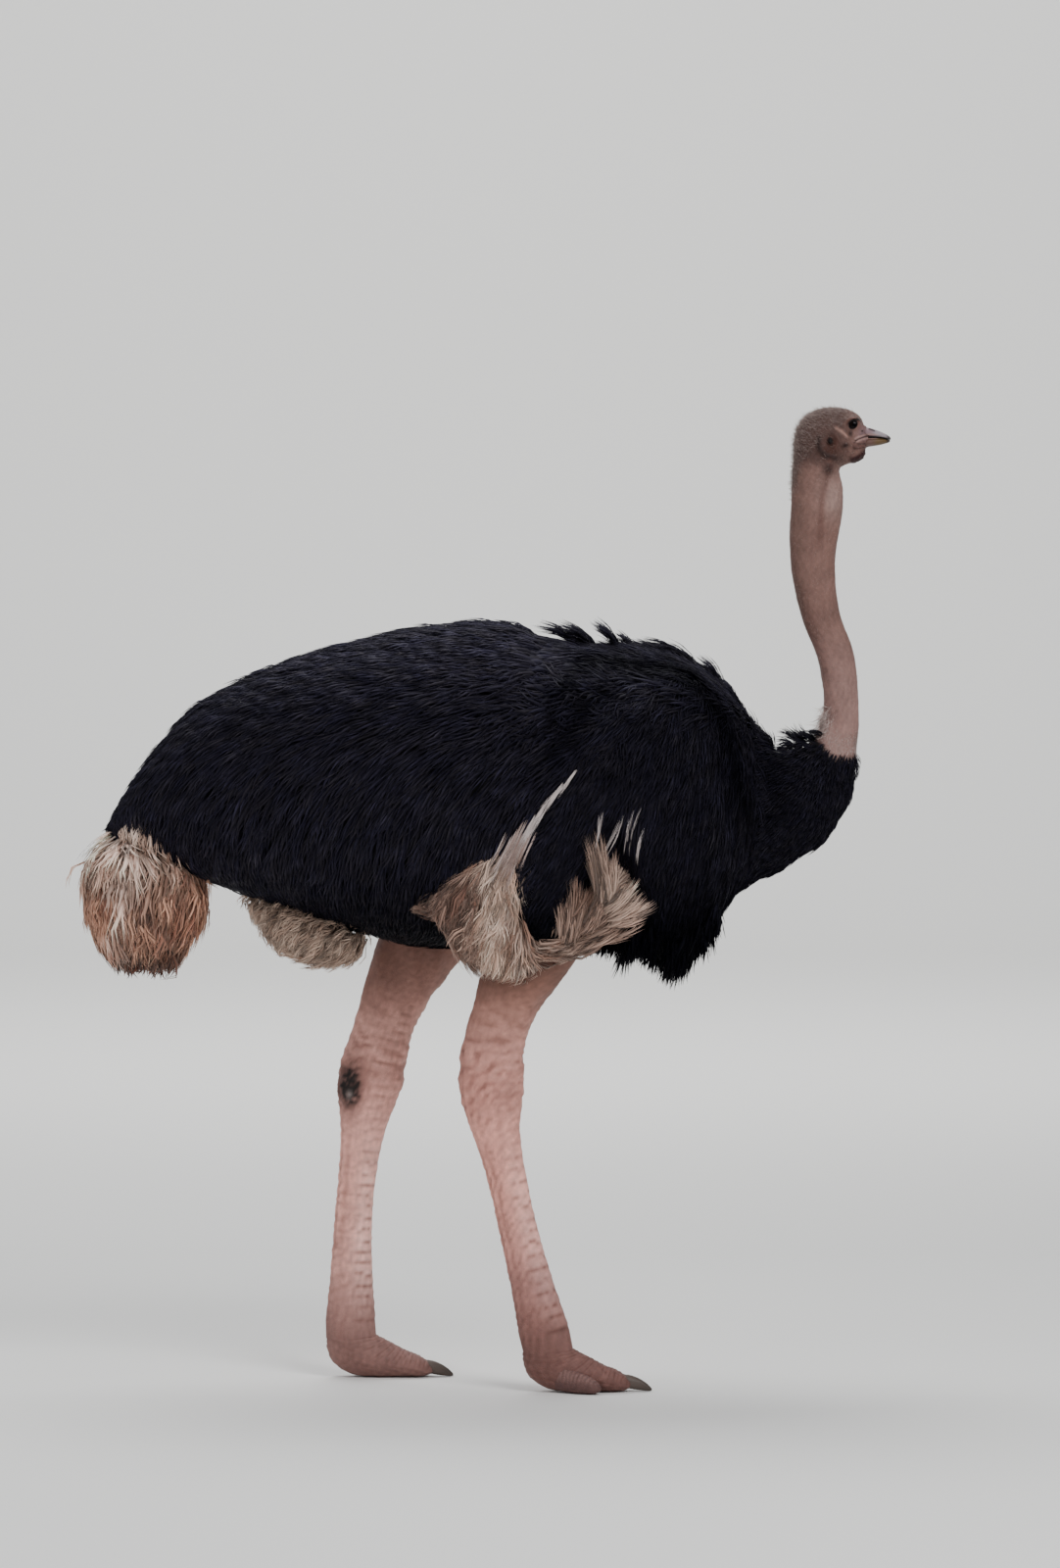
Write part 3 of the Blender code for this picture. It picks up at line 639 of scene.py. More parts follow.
def living_skin():
    """Bare bird skin: soft, slightly greasy, mottled, with pores on the neck and scales on the legs."""
    made, tree, surface = finish(
        "living_skin", Roughness=0.62, IOR=1.33, Subsurface_Weight=0.05, Subsurface_Radius=(1.0, 0.35, 0.2),
        Subsurface_Scale=0.004,
    )
    place = add(tree, "ShaderNodeTexCoord").outputs["Object"]
    scaly = add(tree, "ShaderNodeAttribute", attribute_name="scaly").outputs["Fac"]
    # Mottling of about 8 mm, by a fifth of the colour either way.
    mottle = add(tree, "ShaderNodeTexNoise", {"Vector": place, "Scale": 120.0, "Detail": 4.0})
    coloured(tree, surface, mottle, 0.20)
    # Small scales, 4 mm across, on the legs only.
    scales = add(tree, "ShaderNodeTexVoronoi", {"Vector": place, "Scale": 250.0}, feature="DISTANCE_TO_EDGE")
    raised = add(tree, "ShaderNodeMapRange", {"Value": scales.outputs["Distance"], "From Max": 0.22})
    masked = add(tree, "ShaderNodeMath", {0: raised.outputs["Result"], 1: scaly}, operation="MULTIPLY")
    # Pores and fine creases, 1.5 mm apart, then loose wrinkles, 5 mm apart, then the scales.
    pores = add(tree, "ShaderNodeTexNoise", {"Vector": place, "Scale": 650.0, "Detail": 3.0})
    wrinkles = {"Vector": place, "Scale": 200.0, "Detail": 2.0, "Distortion": 1.2}
    loose = add(tree, "ShaderNodeTexNoise", wrinkles)
    bump = add(tree, "ShaderNodeBump", {"Height": pores.outputs["Fac"], "Strength": 0.35, "Distance": 0.0006})
    for height, strength, distance in ((loose.outputs["Fac"], 0.5, 0.0016), (masked.outputs[0], 0.7, 0.0008)):
        over = {"Height": height, "Normal": bump.outputs[0], "Strength": strength, "Distance": distance}
        bump = add(tree, "ShaderNodeBump", over)
    tree.links.new(bump.outputs[0], surface.inputs["Normal"])
    return made


faces, first = [], 0
for grid, _, _ in parts:
    faces += closed(grid, first)
    first += grid.shape[0] * grid.shape[1]
points = np.concatenate([grid.reshape(-1, 3) for grid, _, _ in parts])
tones = np.concatenate([shade.reshape(-1, 3) for _, shade, _ in parts])
scaly = np.concatenate([scales.ravel() for _, _, scales in parts])
skin = shaped("skin", points, faces, tones, living_skin(), {"scaly": scaly})
flesh = ["head", "neck_upper", "neck_lower", "trunk"]
flesh += [part + end for part in ("ear_", "thigh_", "shank_", "middle_toe_", "outer_toe_") for end in "lr"]
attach(skin, "root")
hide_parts(*flesh)


# ================================================================ eyes
# Two big dark brown eyeballs, wet and glossy, set in the head so that only a coin-sized patch shows
# between the lids. Each is a whole ball, coloured in rings round its pupil.

# The ball's colours by their angle from the middle of the pupil, in radians.
IRIS = (
    (0.0, "#020101"), (0.22, "#020101"), (0.26, "#0e0704"),
    (0.42, "#130a06"), (0.50, "#050303"), (0.7, "#0d0807"),
)


def ball(centre, radius, forward, rings, sides, side):
    """A ball as rings round an axis that points out of the head, turned forward by an angle: the
    centre + radius * (cos(polar) * axis + sin(polar) * (cos(angle) * ahead + sin(angle) * up))."""
    polar = np.linspace(0.01, np.pi - 0.01, rings)[:, None, None]
    angle = (side * circle(sides))[None, :, None]
    axis = np.array((np.sin(forward), side * np.cos(forward), 0))
    ahead = np.array((np.cos(forward), -side * np.sin(forward), 0))
    around = np.cos(angle) * ahead + np.sin(angle) * np.array((0, 0, 1))
    return centre + radius * (np.cos(polar) * axis + np.sin(polar) * around), polar[:, 0, 0]


def wet_eye():
    """A living eye: dark, under a clear wet film that gives one sharp highlight."""
    made, tree, surface = finish("wet_eye", Roughness=0.12, IOR=1.16, Coat_Weight=0.04, Coat_Roughness=0.02)
    # Threads of the iris, 0.6 mm apart.
    place = add(tree, "ShaderNodeTexCoord").outputs["Object"]
    threads = add(tree, "ShaderNodeTexNoise", {"Vector": place, "Scale": 1600.0})
    coloured(tree, surface, threads, 0.3)
    return made


eye_finish = wet_eye()
for side, end in ((1, "l"), (-1, "r")):
    grid, polar = ball(EYE * (1, side, 1), EYE_RADIUS, 0.14, 60, 64, side)
    steps, hexes = zip(*IRIS)
    rings = np.stack([np.interp(polar, steps, [linear(h)[k] for h in hexes]) for k in range(3)], axis=1)
    tones = np.repeat(rings, grid.shape[1], axis=0)
    eye = shaped("eyeball_" + end, grid.reshape(-1, 3), closed(grid, 0), tones, eye_finish)
    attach(eye, "root")
    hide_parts("eye_" + end)


# ================================================================ bill
# A short, broad and flat bill of horn with a rounded nail at its tip. The halves part a little, the
# upper one holds the slits of the nostrils, and their roots turn into skin at the corners of the mouth.

# Each half from root to tip: x, upper side, lower side, distance out, half width.
UPPER_BILL = np.array((
    (0.798, 2.048, 2.033, 0, 0.018), (0.81, 2.0525, 2.0316, 0, 0.0262), (0.82, 2.0522, 2.0314, 0, 0.0272),
    (0.834, 2.0482, 2.0314, 0, 0.0266), (0.845, 2.044, 2.0304, 0, 0.0242),
    (0.854, 2.0405, 2.0288, 0, 0.0202), (0.861, 2.0362, 2.0268, 0, 0.0142),
    (0.865, 2.0325, 2.0262, 0, 0.0072), (0.8662, 2.0305, 2.0276, 0, 0.002),
))
LOWER_BILL = np.array((
    (0.798, 2.028, 2.0125, 0, 0.0175), (0.811, 2.0312, 2.0095, 0, 0.024), (0.82, 2.0318, 2.0115, 0, 0.0246),
    (0.834, 2.0322, 2.0136, 0, 0.0234), (0.845, 2.031, 2.0156, 0, 0.0208),
    (0.853, 2.0298, 2.0172, 0, 0.0172), (0.86, 2.0274, 2.0194, 0, 0.0115),
    (0.8636, 2.0262, 2.0216, 0, 0.006), (0.8648, 2.0255, 2.0232, 0, 0.002),
))
NOSTRIL = ((0.8190, 2.0490), (0.8225, 2.0478), (0.8300, 2.0447))


def horn():
    """Beak and claw horn: hard, satin, streaked along its growth and dulled by wear."""
    made, tree, surface = finish("worn_horn", Roughness=0.50, IOR=1.36)
    place = add(tree, "ShaderNodeTexCoord").outputs["Object"]
    # Growth streaks 1 mm wide and 8 mm long.
    drawn = add(tree, "ShaderNodeMapping", {"Vector": place, "Scale": (120.0, 900.0, 900.0)})
    streaks = add(tree, "ShaderNodeTexNoise", {"Vector": drawn.outputs[0], "Scale": 1.0, "Detail": 4.0})
    coloured(tree, surface, streaks, 0.35)
    grain = {"Height": streaks.outputs["Fac"], "Strength": 0.4, "Distance": 0.0004}
    bump = add(tree, "ShaderNodeBump", grain)
    tree.links.new(bump.outputs[0], surface.inputs["Normal"])
    return made


horn_finish = horn()
# Each half: its node, its rows, the colours of the horn and of its root, and the height of its pale rim.
BILL = (
    ("upper_bill", UPPER_BILL, "#958b90", "#836a6e", 2.0375),
    # the lower half's olive-brown horn, darkened by painted shade because it faces down
    ("lower_bill", LOWER_BILL, "#5a4529", "#60453e", 2.0296),
)
for name, rows, body, root, rim_at in BILL:
    bill = barrel(rows, 90, 72)
    x, y, z = np.moveaxis(bill, -1, 0)
    slit = (name == "upper_bill") * fold(x, z, NOSTRIL, 0.0013) * step(0.006, 0.014, np.abs(y))
    nail = step(0.8485, 0.8500, x) * (1 - step(0.858, 0.866, x))
    bill = bill + grid_normals(bill) * (0.0005 * nail - 0.0022 * slit)[..., None]
    edge = np.abs(z - (2.0322 - 0.0050 * step(0.840, 0.866, x)))
    tones = painted(
        body, bill,
        (root, 1 - step(0.820, 0.840, x)),
        ("#2b211e", 0.90 * step(0.853, 0.862, x)),
        ("#a3958c", 0.5 * patch(x, z, (0.8520, 2.0405), (0.006, 0.003))),
        ("#b9978f", 0.8 * hump(z, rim_at, 0.0012) * step(0.845, 0.830, x)),
        # painted shade along the gap between the halves
        ("#1e1310", 0.95 * hump(edge, 0, 0.0010)),
        # painted shade in the nostril's slit
        ("#1d1114", 1.3 * slit),
    )
    half = shaped(name + "_horn", bill.reshape(-1, 3), closed(bill, 0), tones.reshape(-1, 3), horn_finish)
    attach(half, "root")
    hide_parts(name)


# The wet tongue and palate that close the gap between the halves: near black, painted shade in the mouth.
LINING = np.array((
    (0.808, 2.0365, 2.0285, 0, 0.013), (0.822, 2.0372, 2.029, 0, 0.0205), (0.838, 2.0372, 2.029, 0, 0.02),
    (0.848, 2.0362, 2.028, 0, 0.017), (0.857, 2.0335, 2.0255, 0, 0.0118), (0.861, 2.0315, 2.0265, 0, 0.006),
))
grid = barrel(LINING, 30, 24)
tones = painted("#150a09", grid).reshape(-1, 3)
lining = shaped("mouth_lining", grid.reshape(-1, 3), closed(grid, 0), tones, horn_finish)
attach(lining, "root")


# ================================================================ claws
# The one broad, blunt nail on each big toe: horn that grows out of the toe's skin and wears flat below.

CLAW = np.array((
    (0.152, 0.0375, 0.011, 0, 0.0135), (0.176, 0.0355, 0.0062, 0, 0.0148), (0.196, 0.0285, 0.003, 0, 0.012),
    (0.212, 0.0185, 0.0012, 0, 0.0078), (0.221, 0.01, 0.0012, 0, 0.004), (0.224, 0.0065, 0.0025, 0, 0.0012),
))
for side, end, joints in ((1, "l", LEFT_LEG), (-1, "r", RIGHT_LEG)):
    ankle = np.array(joints[-1])
    nail = barrel(CLAW, 40, 32) + (ankle[0], ankle[1], 0)
    nail[..., 2] += 0.0003 * np.sin(2 * np.pi * nail[..., 0] / 0.0042)
    nail[..., 2] = np.maximum(nail[..., 2], 0.0008)
    growth = ((nail[..., 0] - ankle[0] - 0.165) / 0.055)[..., None]
    tones = linear("#5f524b") * (1 - 0.45 * np.clip(growth, 0, 1))
    claw = shaped("claw_horn_" + end, nail.reshape(-1, 3), closed(nail, 0), tones.reshape(-1, 3), horn_finish)
    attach(claw, "root")
    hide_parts("claw_" + end)


# ================================================================ black plumage of the body
# Loose, soft contour feathers with no hooks to their barbs, so each hangs as a drooping lock with free
# strands at its edges. They overlap like thatch from the breast to the rump and hang steeper lower down.

FRAY = 0.020  # how far neighbouring forms of the plumage melt into each other
# The middle line of the feathered base of the neck: x, z, and its half thickness fore and aft.
NECK_BASE = np.array((
    (0.480, 1.250, 0.140), (0.565, 1.250, 0.160), (0.628, 1.266, 0.139), (0.680, 1.291, 0.109),
    (0.727, 1.333, 0.077), (0.755, 1.392, 0.054),
))


TRUNK_LINE, WING_LINE, LOBE_LINE, PLUME_LINE, VENT_LINE, TAIL_LINE = (
    resampled(rows, 240) for rows in (TRUNK, WING, REAR_LOBE, PLUMES, VENT, TAIL)
)


def off_barrel(line, p):
    """Distance outside a barrel: a point's distance from the middle line less that of the
    superellipse in the same direction, joined with how far the point lies past the ends."""
    x = np.clip(p[..., 0], line[0, 0], line[-1, 0])
    top, under, out, half = (np.interp(x, line[:, 0], line[:, k]) for k in range(1, 5))
    up, across = p[..., 2] - (top + under) / 2 + 1e-5, p[..., 1] - out
    tall, wide = np.maximum((top - under) / 2, 0.004), np.maximum(half, 0.004)
    share = np.abs(up / tall) ** OVAL + np.abs(across / wide) ** OVAL
    apart = np.hypot(up, across) * (1 - share ** (-1 / OVAL))
    return np.hypot(np.maximum(apart, 0), p[..., 0] - x) + np.minimum(apart, 0)


def off_neck(p):
    """Distance outside the base of the neck: the least, over the stretches of its line, of the
    distance to the stretch less its half thickness, with the sides drawn in by a sixth."""
    a, b = NECK_BASE[:-1], NECK_BASE[1:]
    run = (b - a)[:, :2]
    flat = p[..., None, 0::2] - a[:, :2]
    t = np.clip((flat * run).sum(-1) / (run**2).sum(-1), 0, 1)
    apart = np.linalg.norm(flat - t[..., None] * run, axis=-1)
    return (np.hypot(apart, 1.2 * p[..., None, 1]) - a[:, 2] - t * (b - a)[:, 2]).min(-1)


def off_body(p):
    """Distance outside the black plumage: trunk, neck, wings and their lobes melted together, as
    minus FRAY times the logarithm of the sum of exp(-distance / FRAY)."""
    p = np.stack([p[..., 0], np.abs(p[..., 1]), p[..., 2]], axis=-1)
    each = [off_barrel(TRUNK_LINE, p), off_neck(p), off_barrel(WING_LINE, p), off_barrel(LOBE_LINE, p)]
    return -FRAY * np.log(sum(np.exp(-np.clip(d, -1, 1) / FRAY) for d in each))


def facing(surface, p):
    """The distance of points from a surface, and the unit direction in which it grows, from the
    distance's differences over 1.5 mm. Where it grows faster than 1, it is divided by that."""
    apart, small = surface(p), 0.0015
    slope = np.stack([surface(p + small * axis) - apart for axis in np.eye(3)], axis=-1)
    growth = np.linalg.norm(slope, axis=-1, keepdims=True)
    return apart / np.maximum(growth[..., 0] / small, 1), slope / np.maximum(growth, 1e-9)


def onto(surface, p, height, rounds=2):
    """Points moved along the surface's direction until they stand a height off it."""
    for _ in range(rounds):
        apart, up = facing(surface, p)
        p = p - up * np.clip(apart - height, -0.05, 0.05)[:, None]
    return p


def rooted(grid, count, rng):
    """Places spread evenly over a tube of rings, and their shares of the way round and along it: each
    is the next equal step of area, counted cell by cell round every ring, moved a little at random."""
    wide = np.concatenate([grid, grid[:, :1]], axis=1)
    a, b, c = wide[:-1, :-1], wide[:-1, 1:], wide[1:, :-1]
    area = np.linalg.norm(np.cross(b - a, c - a), axis=-1)
    total = np.concatenate([[0], np.cumsum(area.ravel())])
    goal = (np.arange(count) + rng.uniform(0.2, 0.8, count)) * total[-1] / count
    cell = np.clip(np.searchsorted(total, goal) - 1, 0, area.size - 1)
    ring, sector = cell // area.shape[1], cell % area.shape[1]
    f, g = rng.uniform(0, 1, count), (goal - total[cell]) / area.ravel()[cell]
    low = wide[ring, sector] * (1 - g)[:, None] + wide[ring, sector + 1] * g[:, None]
    high = wide[ring + 1, sector] * (1 - g)[:, None] + wide[ring + 1, sector + 1] * g[:, None]
    where = low * (1 - f)[:, None] + high * f[:, None]
    return where, np.stack([(sector + g) / area.shape[1], (ring + f) / area.shape[0]], axis=-1)


def laid(surface, roots, flow, length, heights, turn):
    """Shafts that lie along a surface. Each goes on from its root in equal steps along the flow, flattened
    to the surface and turned by a little more each step, or by each step's own angle. It is then moved along
    the surface's direction to the height that it has there. Gives the points and the up directions."""
    steps = heights.shape[1]
    points = [onto(surface, roots, heights[:, 0])]
    ups = []
    for k in range(1, steps + 1):
        up = facing(surface, points[-1])[1]
        ups.append(up)
        if k == steps:
            break
        way = flow(points[-1])
        way = way - up * (way * up).sum(-1, keepdims=True)
        way /= np.maximum(np.linalg.norm(way, axis=-1, keepdims=True), 1e-9)
        bend = (turn[:, k - 1] if turn.ndim == 2 else turn * (k - 0.5) / steps)[:, None]
        way = way * np.cos(bend) + np.cross(up, way) * np.sin(bend)
        points.append(onto(surface, points[-1] + way * (length / (steps - 1))[:, None], heights[:, k]))
    return np.stack(points, axis=1), np.stack(ups, axis=1)


def read(path, at):
    """A row of points per feather, read at shares of its length (one row of shares for all)."""
    place = np.clip(at, 0, 1) * (path.shape[1] - 1)
    start = np.minimum(place.astype(int), path.shape[1] - 2)
    f = (place - start)[None, :, None]
    return path[:, start] * (1 - f) + path[:, start + 1] * f


def strands(path, up, width, length, plan, rng):
    """Closed tapering strands along each feather's shaft. A strand of the plan runs from one share of
    the shaft to another, drifts sideways from one multiple of the feather's width to another, lifts
    by a multiple of it, and has a half width, a flatness, and a number of rings and corners. Gives
    points, triangles, each point's share along its feather, and its place across and along it."""
    tangent = np.gradient(path, axis=1)
    side = np.cross(tangent, up)
    side /= np.maximum(np.linalg.norm(side, axis=-1, keepdims=True), 1e-9)
    count, w = len(path), width[:, None, None]
    points, faces, shares, places, first = [], [], [], [], 0
    for start, end, drift, out, lift, half, flat, rings, corners in plan:
        t = np.linspace(0, 1, rings + 1)
        at = start + (end - start) * t
        middle, across, rise = read(path, at), read(side, at), read(up, at)
        wander = drift + (out - drift) * t**1.4 + rng.normal(0, 0.12, (count, 1)) * t
        raised = lift * t**1.5 + rng.normal(0, 0.08, (count, 1)) * t
        middle = middle + across * w * wander[..., None] + rise * w * raised[..., None]
        angle = 2 * np.pi * (np.arange(corners) + 0.5 * (corners == 3)) / corners
        taper = (0.45 + 0.55 * np.sin(np.pi * np.minimum(1.25 * t[:-1] + 0.12, 1))) * (1 - 0.5 * t[:-1] ** 3)
        taper = taper * (0.25 + 0.75 * np.minimum(4 * t[:-1], 1))
        radius = w[..., None] * half * taper[None, :, None, None]
        ring = middle[:, :-1, None] + radius * (
            across[:, :-1, None] * np.cos(angle)[:, None] + flat * rise[:, :-1, None] * np.sin(angle)[:, None]
        )
        ring = ring.reshape(count, -1, 3)
        points += [ring, middle[:, -1:]]
        shares += [np.repeat(at[:-1], corners), at[-1:]]
        wide = wander[:, :-1, None] + half * taper[None, :, None] * np.cos(angle)
        wide = np.concatenate([wide.reshape(count, -1), wander[:, -1:]], axis=1) * width[:, None]
        places.append(np.stack([wide, np.concatenate(shares[-2:]) * length[:, None]], axis=-1))
        n = np.arange((rings - 1) * corners)
        near = n // corners * corners + (n + 1) % corners
        walls = [np.stack([n, near, near + corners], 1), np.stack([n, near + corners, n + corners], 1)]
        last = (rings - 1) * corners + np.arange(corners)
        tips = np.stack([last, np.roll(last, -1), np.full(corners, rings * corners)], 1)
        fan = np.arange(1, corners - 1)
        roots = np.stack([0 * fan, fan + 1, fan], 1)
        faces.append(np.concatenate([*walls, tips, roots])[:, ::-1] + first)
        first += rings * corners + 1
    triangles = (np.concatenate(faces)[None] + first * np.arange(count)[:, None, None]).reshape(-1, 3)
    return np.concatenate(points, axis=1), triangles, np.concatenate(shares), np.concatenate(places, axis=1)


def coat(name, made, unwrapped, tones, material, rng):
    """A coat piece from its strands: per-point colours in "tone", the map "Vane" that runs across
    and along each feather in metres, and the map "OFBake", where each feather is a patch 0.003 across
    at its root's place on the unwrap of the form it grows from."""
    points, triangles, shares, places = made
    count, each = points.shape[:2]
    mesh = bpy.data.meshes.new(name)
    mesh.vertices.add(count * each)
    mesh.vertices.foreach_set("co", points.ravel())
    mesh.loops.add(triangles.size)
    mesh.loops.foreach_set("vertex_index", triangles.ravel())
    mesh.polygons.add(len(triangles))
    mesh.polygons.foreach_set("loop_start", np.arange(0, triangles.size, 3))
    mesh.update(calc_edges=True)
    reach = np.abs(places[..., 0]).max(1, keepdims=True)
    within = np.stack([places[..., 0] / (2 * reach), np.broadcast_to(shares - 0.5, (count, each))], axis=-1)
    bake = (0.02 + 0.96 * unwrapped[:, None] + 0.003 * within).reshape(-1, 2)
    vane = (places + rng.uniform(0, 9, (count, 1, 2))).reshape(-1, 2)
    for key, values in (("OFBake", bake), ("Vane", vane)):
        mesh.uv_layers.new(name=key).data.foreach_set("uv", values[triangles.ravel()].ravel())
    colours = np.concatenate([np.clip(tones, 0, 1), np.ones((count, each, 1))], axis=-1)
    mesh.color_attributes.new("tone", "FLOAT_COLOR", "POINT").data.foreach_set("color", colours.ravel())
    mesh.shade_smooth()
    mesh.materials.append(material)
    piece = bpy.data.objects.new(name, mesh)
    bpy.context.scene.collection.objects.link(piece)
    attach(piece, "root")
    return piece


def down_feather(name, roughness, sheen, tint, ior, gloss_tint, streaks):
    """Loose feather: matt and soft, its barbs lying along it as fine streaks that catch a faint sheen."""
    made, tree, surface = finish(
        name, Roughness=roughness, IOR=ior, Specular_Tint=(*linear(gloss_tint), 1), Sheen_Weight=sheen,
        Sheen_Roughness=0.45, Sheen_Tint=(*linear(tint), 1),
    )
    along = add(tree, "ShaderNodeUVMap", uv_map="Vane")
    # Barbs clinging together in threads 1.5 mm wide and 40 mm long.
    drawn = add(tree, "ShaderNodeMapping", {"Vector": along.outputs[0], "Scale": (650.0, 25.0, 1.0)})
    barbs = add(tree, "ShaderNodeTexNoise", {"Vector": drawn.outputs[0], "Scale": 1.0, "Detail": 2.0})
    coloured(tree, surface, barbs, streaks)
    grain = {"Height": barbs.outputs["Fac"], "Strength": streaks, "Distance": 0.0010}
    bump = add(tree, "ShaderNodeBump", grain)
    tree.links.new(bump.outputs[0], surface.inputs["Normal"])
    return made


black_feather = down_feather("black_feather", 0.60, 0.010, "#9a9cc0", 1.16, "#d6d6ff", 0.40)
# How a body feather is made up: a flat middle lock and a free strand at each edge.
CONTOUR = (
    (0.00, 1.00, 0.00, 0.00, 0.00, 0.60, 0.30, 3, 3),
    (0.30, 1.08, 0.45, 1.05, 0.15, 0.15, 0.8, 2, 3),
    (0.25, 0.92, -0.45, -1.30, 0.05, 0.16, 0.8, 2, 3),
)


def body_lie(p):
    """The way body feathers point: backward and down, by an angle that steepens smoothly from 12 degrees
    on the back to 80 low on the flanks, and by 22 more at the rump's end, and out on the breast."""
    steep = np.radians(12 + 68 * (1 - step(1.04, 1.60, p[..., 2])) + 22 * step(-0.68, -0.79, p[..., 0]))
    out = 0.10 * np.sign(p[..., 1]) * step(0.25, 0.55, p[..., 0])
    return np.stack([-np.cos(steep), out, -np.sin(steep)], axis=-1)


def creases(x, z):
    """The folds of the plumage, where the feathers dip and take painted shade: over the wing and down its
    front, behind it, and before it.
    """
    over = ((0.155, 1.486), (0.197, 1.549), (0.250, 1.560), (0.330, 1.540), (0.386, 1.540), (0.440, 1.518))
    front = ((0.440, 1.518), (0.470, 1.476), (0.502, 1.424), (0.523, 1.370), (0.534, 1.300), (0.554, 1.225))
    behind = ((0.250, 1.492), (0.208, 1.466), (0.176, 1.413), (0.145, 1.360))
    neck = ((0.586, 1.380), (0.617, 1.330), (0.630, 1.250), (0.586, 1.195))
    deep = fold(x, z, over, 0.020) + fold(x, z, front, 0.018)
    return np.clip(deep + 0.7 * fold(x, z, behind, 0.024) + 0.35 * fold(x, z, neck, 0.024), 0, 1)


def black_coat(name, grid, count, seed, lie, size, keep, rough=1.0, rise=None, deep=0.022):
    """Black feathers over one form of the body. size is a feather's length and width. keep says which
    roots stay, and of those the ones within deep of the outline do. rise is how far tips stand off it.
    Feathers are shorter at the rump's end and beside the bare skin. The shaft rises to the outline from
    a root in the skin, no deeper than its length allows, and the outline swells, sinks and dips."""
    rng = np.random.default_rng(seed)
    where, unwrapped = rooted(grid, count, rng)
    kept = keep(where) & (off_body(where) > -deep)
    where, unwrapped = where[kept], unwrapped[kept]
    count, x, z = len(where), where[:, 0], where[:, 2]
    tousled = patch(x, z, (0.21, 1.49), (0.15, 0.10))
    short = step(0.050, 0.0, black_edge(x) - z) * step(0.64, 0.68, x)
    shrink = (1 - 0.70 * step(-0.71, -0.795, x)) * (1 - 0.45 * short)
    length = size[0] * rng.uniform(0.75, 1.3, count) * (1 + 0.15 * tousled) * shrink
    width = size[1] * rng.uniform(0.7, 1.35, count) * (1 + 0.50 * tousled) * (1 - 0.50 * short)
    swell = 0.0040 * ripples(where * (0.7, 1, 0.7), 0.07, 31) + 0.0110 * tousled * ripples(where, 0.075, 32)
    dip = 0.024 * step(0.115, 0.165, x) * step(0.42, 0.33, x) * step(1.50, 1.57, z)
    tip = -0.002 + rough * (swell + rng.normal(0, 0.0022, count)) - dip - 0.010 * creases(x, z)
    depth = np.minimum(0.030, 0.42 * length)[:, None]
    t = np.linspace(0, 1, 6)
    heights = (tip[:, None] + depth) * np.sin(np.pi / 2 * np.minimum(1.35 * t, 1)) - depth
    if rise is not None:
        heights = heights + (rise(where) * rng.uniform(0.3, 1.2, count))[:, None] * t**2.5
    turn = rng.normal(0, 0.22 + 0.55 * tousled, count)
    path, up = laid(off_body, where, lie, length, heights, turn)
    made = strands(path, up, width, length, CONTOUR, rng)
    piece = coat(name, made, unwrapped, black_tones(made, rng), black_feather, rng)
    return piece


def black_tones(made, rng):
    """Feather colours: each lock a little lighter or browner than the next, its tip than its root, and the
    rear than the front; painted light on the back, painted shade that makes the belly near black, and
    painted shade in the folds."""
    count = len(made[0])
    shade = rng.lognormal(0, 0.22, (count, 1)) * (0.35 + 0.70 * made[2])
    x, z = made[0][..., 0], made[0][..., 2]
    # Painted shade that makes the belly near black, and painted light on the back.
    shade = shade * (0.03 + 1.22 * step(0.93, 1.14, z)) * (1 + 0.55 * step(1.42, 1.58, z))
    # Painted shade in the folds, and the front a little darker than the rear.
    shade = shade * (1 - 0.85 * creases(x, z)) * (1 - 0.30 * step(0.02, 0.25, x))
    blend = rng.uniform(0, 1, (count, 1, 1))
    return shade[..., None] * (linear("#24222f") * (1 - blend) + linear("#272429") * blend)


def tail_cover(p):
    """Whether a root of the rump's lower edge is pale: inside an upturned V over the tail's root."""
    return (p[:, 2] < 1.258 - 1.40 * np.abs(p[:, 0] + 0.755)) & (p[:, 0] < -0.66)


RUMP_END = -0.810  # no feather of the rump's sides is rooted behind here
trunk_grid = barrel(TRUNK, 62, 160)


def on_trunk(side, low, high):
    """Tells which roots are on one side of the trunk and between two distances along it."""
    return lambda p: (
        (p[:, 1] * side > -0.003) & (p[:, 0] >= max(low, RUMP_END)) & (p[:, 0] < high) & ~tail_cover(p)
    )


# Stretches of the trunk's plumage: name, where it starts and ends, and a seed.
STRETCHES = (("rump", -1.0, -0.36, 101), ("flank", -0.36, 0.02, 103), ("fore", 0.02, 1.0, 105))
for side, end in ((1, "l"), (-1, "r")):
    for place, low, high, seed in STRETCHES:
        black_coat(
            f"{place}_plumage_{end}", trunk_grid, 12000, seed + (side > 0), body_lie, (0.095, 0.0105),
            on_trunk(side, low, high),
        )

# Short feathers crowd the rump's very end, above the root of the tail.
black_coat(
    "rump_end_plumage", barrel(TRUNK[:4], 16, 60), 4200, 109, body_lie, (0.105, 0.0105),
    lambda p: (p[:, 0] < -0.755) & ~tail_cover(p), 0.6,
)

# ================================================================ black plumage of the wings
# Each folded wing hangs in front of the thigh as two lobes of long, fine-barbed coverts. The wings'
# ends are loose, so single locks droop below them.

WING_HUB = np.array((0.50, 0.02, 1.74))  # the point that the wing's feathers hang away from


def wing_lie(p):
    """The way wing feathers point: away from the wing's hub and a little backward."""
    way = np.stack([p[..., 0] - WING_HUB[0], 0.8 * p[..., 1], p[..., 2] - WING_HUB[2]], axis=-1)
    way = way / np.linalg.norm(way, axis=-1, keepdims=True) + (-0.10, 0, -0.10)
    return way / np.linalg.norm(way, axis=-1, keepdims=True)


